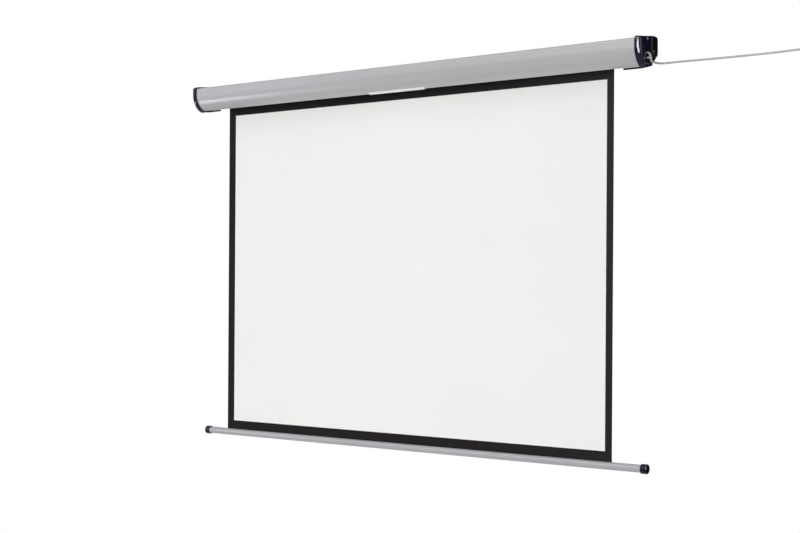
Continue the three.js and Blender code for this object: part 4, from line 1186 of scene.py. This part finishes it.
# Gland, clips and tie on the lead
gland = {
    "start": 0.8283, "end": 0.8513, "taperStart": 0.8463,
    "radius": 0.0057, "tip": 0.004, "edge": 0.0004,
    "rings": 4, "groove": 0.0005, "ring": (0.15, 0.4, 0.55, 0.95),  # where a groove and its rib begin and end
}


def makeGland():
    start, end, taper, radius, edge = (gland[key] for key in ("start", "end", "taperStart", "radius", "edge"))
    profile = [(0, start), (radius - edge, start), (radius, start + edge), (radius, taper)]
    step = (end - taper) / gland["rings"]
    for k in range(gland["rings"]):
        high = radius + (gland["tip"] - radius) * (k + 1) / gland["rings"]
        low = high - gland["groove"]
        for reach, share in zip((low, low, high, high), gland["ring"]):
            profile.append((reach, taper + step * k + step * share))
    profile.append((0, end))
    return polished(turned("cordGland", profile, "x", (0, roller["y"], roller["z"]),
        finishes["black_plastic"], 32))


settle(makeGland(), "housing", "black_plastic", "cord_gland")

clip = {
    "inner": 0.8573, "outer": 0.869, "width": 0.0105, "low": -0.0375, "high": -0.033,
    "wall": 0.0016, "floor": 0.0046, "edge": 0.0005,
    "backRound": 0.0005, "tipRound": 0.0007, "bedRound": 0.003,
}


# A fork seen from below: (X, Y) corners pushed up along Z
def makeCordClip():
    half, mouth, middle = clip["width"] / 2, clip["width"] / 2 - clip["wall"], roller["y"]
    inner, outer, tipRound = clip["inner"], clip["outer"], clip["tipRound"]
    prong = [(inner, half, clip["backRound"]), (outer, half, tipRound), (outer, mouth, tipRound)]
    prong.append((inner + clip["floor"], mouth, clip["bedRound"]))
    corners = [(x, middle - out, radius) for x, out, radius in prong]
    corners += [(x, middle + out, radius) for x, out, radius in prong[::-1]]
    rings = drawn(corners, softEnds(clip["low"], clip["high"], clip["edge"]), "z", steps=6)
    return polished(loft("cordClip", rings, finishes["cord_grey"]), 50)


settle(makeCordClip(), "housing", "cord_grey", "cord_clip")

tie = {"width": 0.008, "wall": 0.0012, "slack": 0.0004, "round": 0.002, "edge": 0.0003}


def makeTie():
    reach, middle = cord["radius"] + tie["slack"], -cord["standoff"]
    nearY, farY = middle + reach, middle - cord["pitch"] - reach
    highZ, lowZ = coilZ - coilInner + reach, coilZ - coilOuter - reach
    corners = boxCorners(farY, nearY, lowZ, highZ, tie["round"])
    half, wall, edge = tie["width"] / 2, tie["wall"], tie["edge"]
    ring = [(-half, -wall + edge), (-half + edge, -wall), (half - edge, -wall), (half, -wall + edge)]
    ring += [(half, -edge), (half - edge, 0.0), (-half + edge, 0.0), (-half, -edge)]
    rings = drawn(corners, [(coilX + x, inset) for x, inset in ring])
    return polished(loft("coilTie", rings, finishes["black_plastic"], loop=True), 50)


coilTie = settle(makeTie(), "housing", "black_plastic", "coil_tie")

# The clip nailed to the wall: a round crown over the lead and a lobe above it for the nail
holder = {
    "width": 0.005, "wall": 0.0018, "lobe": 0.008, "gap": 0.0003, "edge": 0.0004, "top": 0.0018,
    "crownEase": 0.0003, "bedEase": 0.0001,  # keep its round corners from meeting
    "hole": (-0.02, 0.01),  # cut right through
    "nail": 0.0009, "nailPoint": (-0.0018, -0.0003),  # where its point begins and ends
    "nailHead": 0.0022, "headHeight": 0.001, "headSide": 0.0003, "headEdge": 0.0001, "domeSteps": 6,
}
holderFront = -cord["standoff"] - cord["radius"] - holder["gap"] - holder["wall"]
nailZ = -cord["drop"] + cord["radius"] + holder["lobe"] / 2


def makeHolder():
    run, edge, wall = -cord["drop"], holder["edge"], holder["wall"]
    mouth = cord["radius"] + holder["gap"]
    low, high = run - mouth - wall, run + cord["radius"] + holder["lobe"]
    deep, bedRound = -cord["standoff"] - mouth, mouth - holder["bedEase"]
    corners = [
        (holderFront, low, mouth + wall - holder["crownEase"]), (0.0, low, edge), (0.0, run - mouth, edge),
        (deep, run - mouth, bedRound), (deep, run + mouth, bedRound), (0.0, run + mouth, edge),
        (0.0, high, edge), (holderFront, high, holder["top"]),
    ]
    half = holder["width"] / 2
    rings = drawn(corners, softEnds(wallClipX - half, wallClipX + half, edge))
    bore, (front, back) = holder["nail"] + holder["gap"], holder["hole"]
    profile = [(0, front), (bore, front), (bore, back), (0, back)]
    hole = turned("hole", profile, "y", (wallClipX, 0, nailZ), steps=32)
    return polished(carved(loft("leadClip", rings, finishes["cord_grey"]), [hole]), 50)


def makeNail():
    head, height, side, edge = (holder[key] for key in ("nailHead", "headHeight", "headSide", "headEdge"))
    shank, (tipStart, tipEnd) = holder["nail"], holder["nailPoint"]
    rest = holderFront - holder["gap"]
    profile = []
    for k in range(holder["domeSteps"] + 1):
        angle = math.pi / 2 * k / holder["domeSteps"]
        profile.append((head * math.sin(angle), rest - side - (height - side) * math.cos(angle)))
    profile += [(head, rest - edge), (head - edge, rest), (shank, rest), (shank, tipStart), (0, tipEnd)]
    return polished(turned("clipNail", profile, "y", (wallClipX, 0, nailZ), finishes["zinc_screw"], 32))


leadClip = settle(makeHolder(), "housing", "cord_grey", "wall_clip")
clipNail = settle(makeNail(), "housing", "zinc_screw", "clip_nail")

# Simple finishes for the working parts that keep their own meshes
inside = {
    "galvanised_steel": ["motor_plate", "idler_plate", "motor_housing", "planetary_gearbox", "holding_brake",
        "motor_shaft", "roller_tube", "hem_rod"],
    "black_plastic": ["motor_head", "run_capacitor"],
    "white_nylon": ["limit_screw_up", "limit_screw_down", "drive_wheel", "limit_crown", "idler_plug",
        "edge_spline"],
    "sintered_bronze": ["idler_bush"],
    "copper_windings": ["motor_stator"],
    "circuit_board": ["control_board"],
}
for slotName, names in inside.items():
    for name in names:
        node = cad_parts[name]
        for slot in node.material_slots:
            slot.material = finishes[slotName]
print("working parts dressed")

# The studio: a white surround, a pale floor and soft lamps
studio = {
    "ambient": 0.62,
    "gloss": 0.5,  # how bright the surround is in a shiny surface, in front of the object
    "glossBehind": 0.02, "behindFades": (-0.92, -0.45),  # behind it, and where that fades towards the front
    "glossLevels": [(-0.62, 0.9), (-0.42, 0.25), (-0.2, 0.25), (0.0, 1.0)],  # height on the surround, level
    "floorZ": -2.2, "floorRadius": 14.0, "floorSteps": 96,
    "floorNear": 1.6, "floorFar": 3.6,  # where it turns to plain white
    "floorLow": (0.86, 0.86, 0.86), "floorHigh": (0.88, 0.88, 0.88),
    "lamps": [  # name, place, aim, width, height, watts, tone, what it lights, its turn in degrees
        ("highLamp", (-0.5, -5.0, 1.2), (0.0, 0.0, -0.5), 2.4, 2.4, 57.0, (1, 1, 1), "diffuse"),
        ("lowLamp", (-0.1, -3.6, -2.05), (0.0, -0.1, -0.1), 3.0, 0.6, 44.0, (1, 1, 1), "diffuse"),
        ("topLamp", (-0.5, -1.8, 2.6), (0.0, -0.1, -0.3), 2.6, 1.0, 11.0, (1, 1, 1), "diffuse"),
        ("bandStrip", (-2.17, -1.06, -1.04), (-0.85, -0.12, -0.03), 0.5, 0.34, 4.5,
            (0.86, 0.84, 1.0), "gloss"),
        ("fillStrip", (-1.86, -1.98, -1.35), (0.0, -0.12, -0.03), 2.5, 1.5, 3.4, (1.0, 0.98, 1.0), "gloss"),
        ("leftStrip", (-2.94, -2.28, 0.10), (-0.857, -0.12, 0.0), 1.4, 1.6, 6.0, (0.80, 0.85, 1.0), "gloss"),
        ("capStrip", (1.70, -1.93, -0.22), (0.855, -0.12, -0.01), 1.1, 1.65, 126.0,
            (0.97, 0.98, 1.0), "gloss", 25),
        ("topStrip", (1.1, -1.4, 2.0), (0.855, -0.12, 0.01), 1.8, 0.9, 70.0, (0.97, 0.98, 1.0), "gloss"),
        ("sideStrip", (2.98, 0.45, 0.3), (0.857, -0.08, 0.0), 0.8, 1.5, 15.0, (0.95, 0.93, 1.0), "gloss"),
        ("barStrip", (-0.6, -3.2, 1.3), (0.0, -0.05, -1.2), 4.0, 0.35, 20.0, (0.95, 0.93, 1.0), "gloss"),
    ],
}


def rayKind(graph, name):
    return graph.node("ShaderNodeLightPath", output=name)


# White to the camera, even light on matt surfaces, and darker behind and below in shiny ones
def makeWorld():
    world = bpy.data.worlds.new("studio")
    world.use_nodes = True
    scene.world = world
    graph = Graph(world.node_tree)
    way = graph.node("ShaderNodeTexCoord", output="Generated")
    across, up = (graph.node("ShaderNodeSeparateXYZ", {}, {"Vector": way}, output) for output in ("Y", "Z"))
    behind, level = studio["behindFades"]
    front = graph.node("ShaderNodeMapRange", {"interpolation_type": "SMOOTHSTEP"},
        {"Value": across * -1, "From Min": behind, "From Max": level, "To Min": studio["glossBehind"]}, 0)
    stops = [(place / 2 + 0.5, (gloss, gloss, gloss)) for place, gloss in studio["glossLevels"]]
    high = graph.node("ShaderNodeValToRGB", {"stops": stops}, {"Fac": up * 0.5 + 0.5}, "Color")
    shiny = rayKind(graph, "Is Glossy Ray")
    seen = rayKind(graph, "Is Camera Ray") + rayKind(graph, "Is Transmission Ray")
    strength = seen + (1 - seen) * (shiny * front * high * studio["gloss"] + (1 - shiny) * studio["ambient"])
    glow = graph.node("ShaderNodeBackground", {}, {"Color": (1, 1, 1, 1), "Strength": strength})
    graph.node("ShaderNodeOutputWorld", {}, {"Surface": glow})


def makeFloor():
    finish = Finish("paleFloor")
    place = finish.place()
    away = finish.node("ShaderNodeVectorMath", {"operation": "LENGTH"}, {0: place}, "Value")
    far = finish.node("ShaderNodeMapRange", {"interpolation_type": "SMOOTHSTEP"},
        {"Value": away, "From Min": studio["floorNear"], "From Max": studio["floorFar"]}, 0)
    grain = finish.cloud(place, 40.0)
    paint = finish.node("ShaderNodeBsdfDiffuse", {},
        {"Color": finish.tone(grain, studio["floorLow"], studio["floorHigh"])})
    white = finish.node("ShaderNodeEmission", {}, {"Color": (1, 1, 1, 1), "Strength": 1.0})
    hidden = far * rayKind(finish, "Is Camera Ray")
    both = finish.node("ShaderNodeMixShader", {}, {"Fac": hidden, 1: paint, 2: white})
    finish.node("ShaderNodeOutputMaterial", {}, {"Surface": both})
    build = bmesh.new()
    radius, steps = studio["floorRadius"], studio["floorSteps"]
    angles = [2 * math.pi * k / steps for k in range(steps)]
    rim = [(radius * math.cos(angle), radius * math.sin(angle), studio["floorZ"]) for angle in angles]
    build.faces.new([build.verts.new(point) for point in rim])
    floor = fromMesh("floor", build, finish.material)
    floor.visible_glossy = False


def addLamp(name, place, aim, width, height, watts, tone, lights, spin=0):
    data = bpy.data.lights.new(name, "AREA")
    data.shape, data.size, data.size_y = "RECTANGLE", width, height
    data.energy, data.color = watts, tone
    lamp = bpy.data.objects.new(name, data)
    lamp.location = place
    turn = (Vector(aim) - Vector(place)).to_track_quat("-Z", "Y") @ Quaternion((0, 0, 1), math.radians(spin))
    lamp.rotation_euler = turn.to_euler()
    lamp.visible_camera = False
    lamp.visible_diffuse, lamp.visible_glossy = lights != "gloss", lights != "diffuse"
    scene.collection.objects.link(lamp)


makeWorld()
makeFloor()
for lampValues in studio["lamps"]:
    addLamp(*lampValues)
print("studio lit")
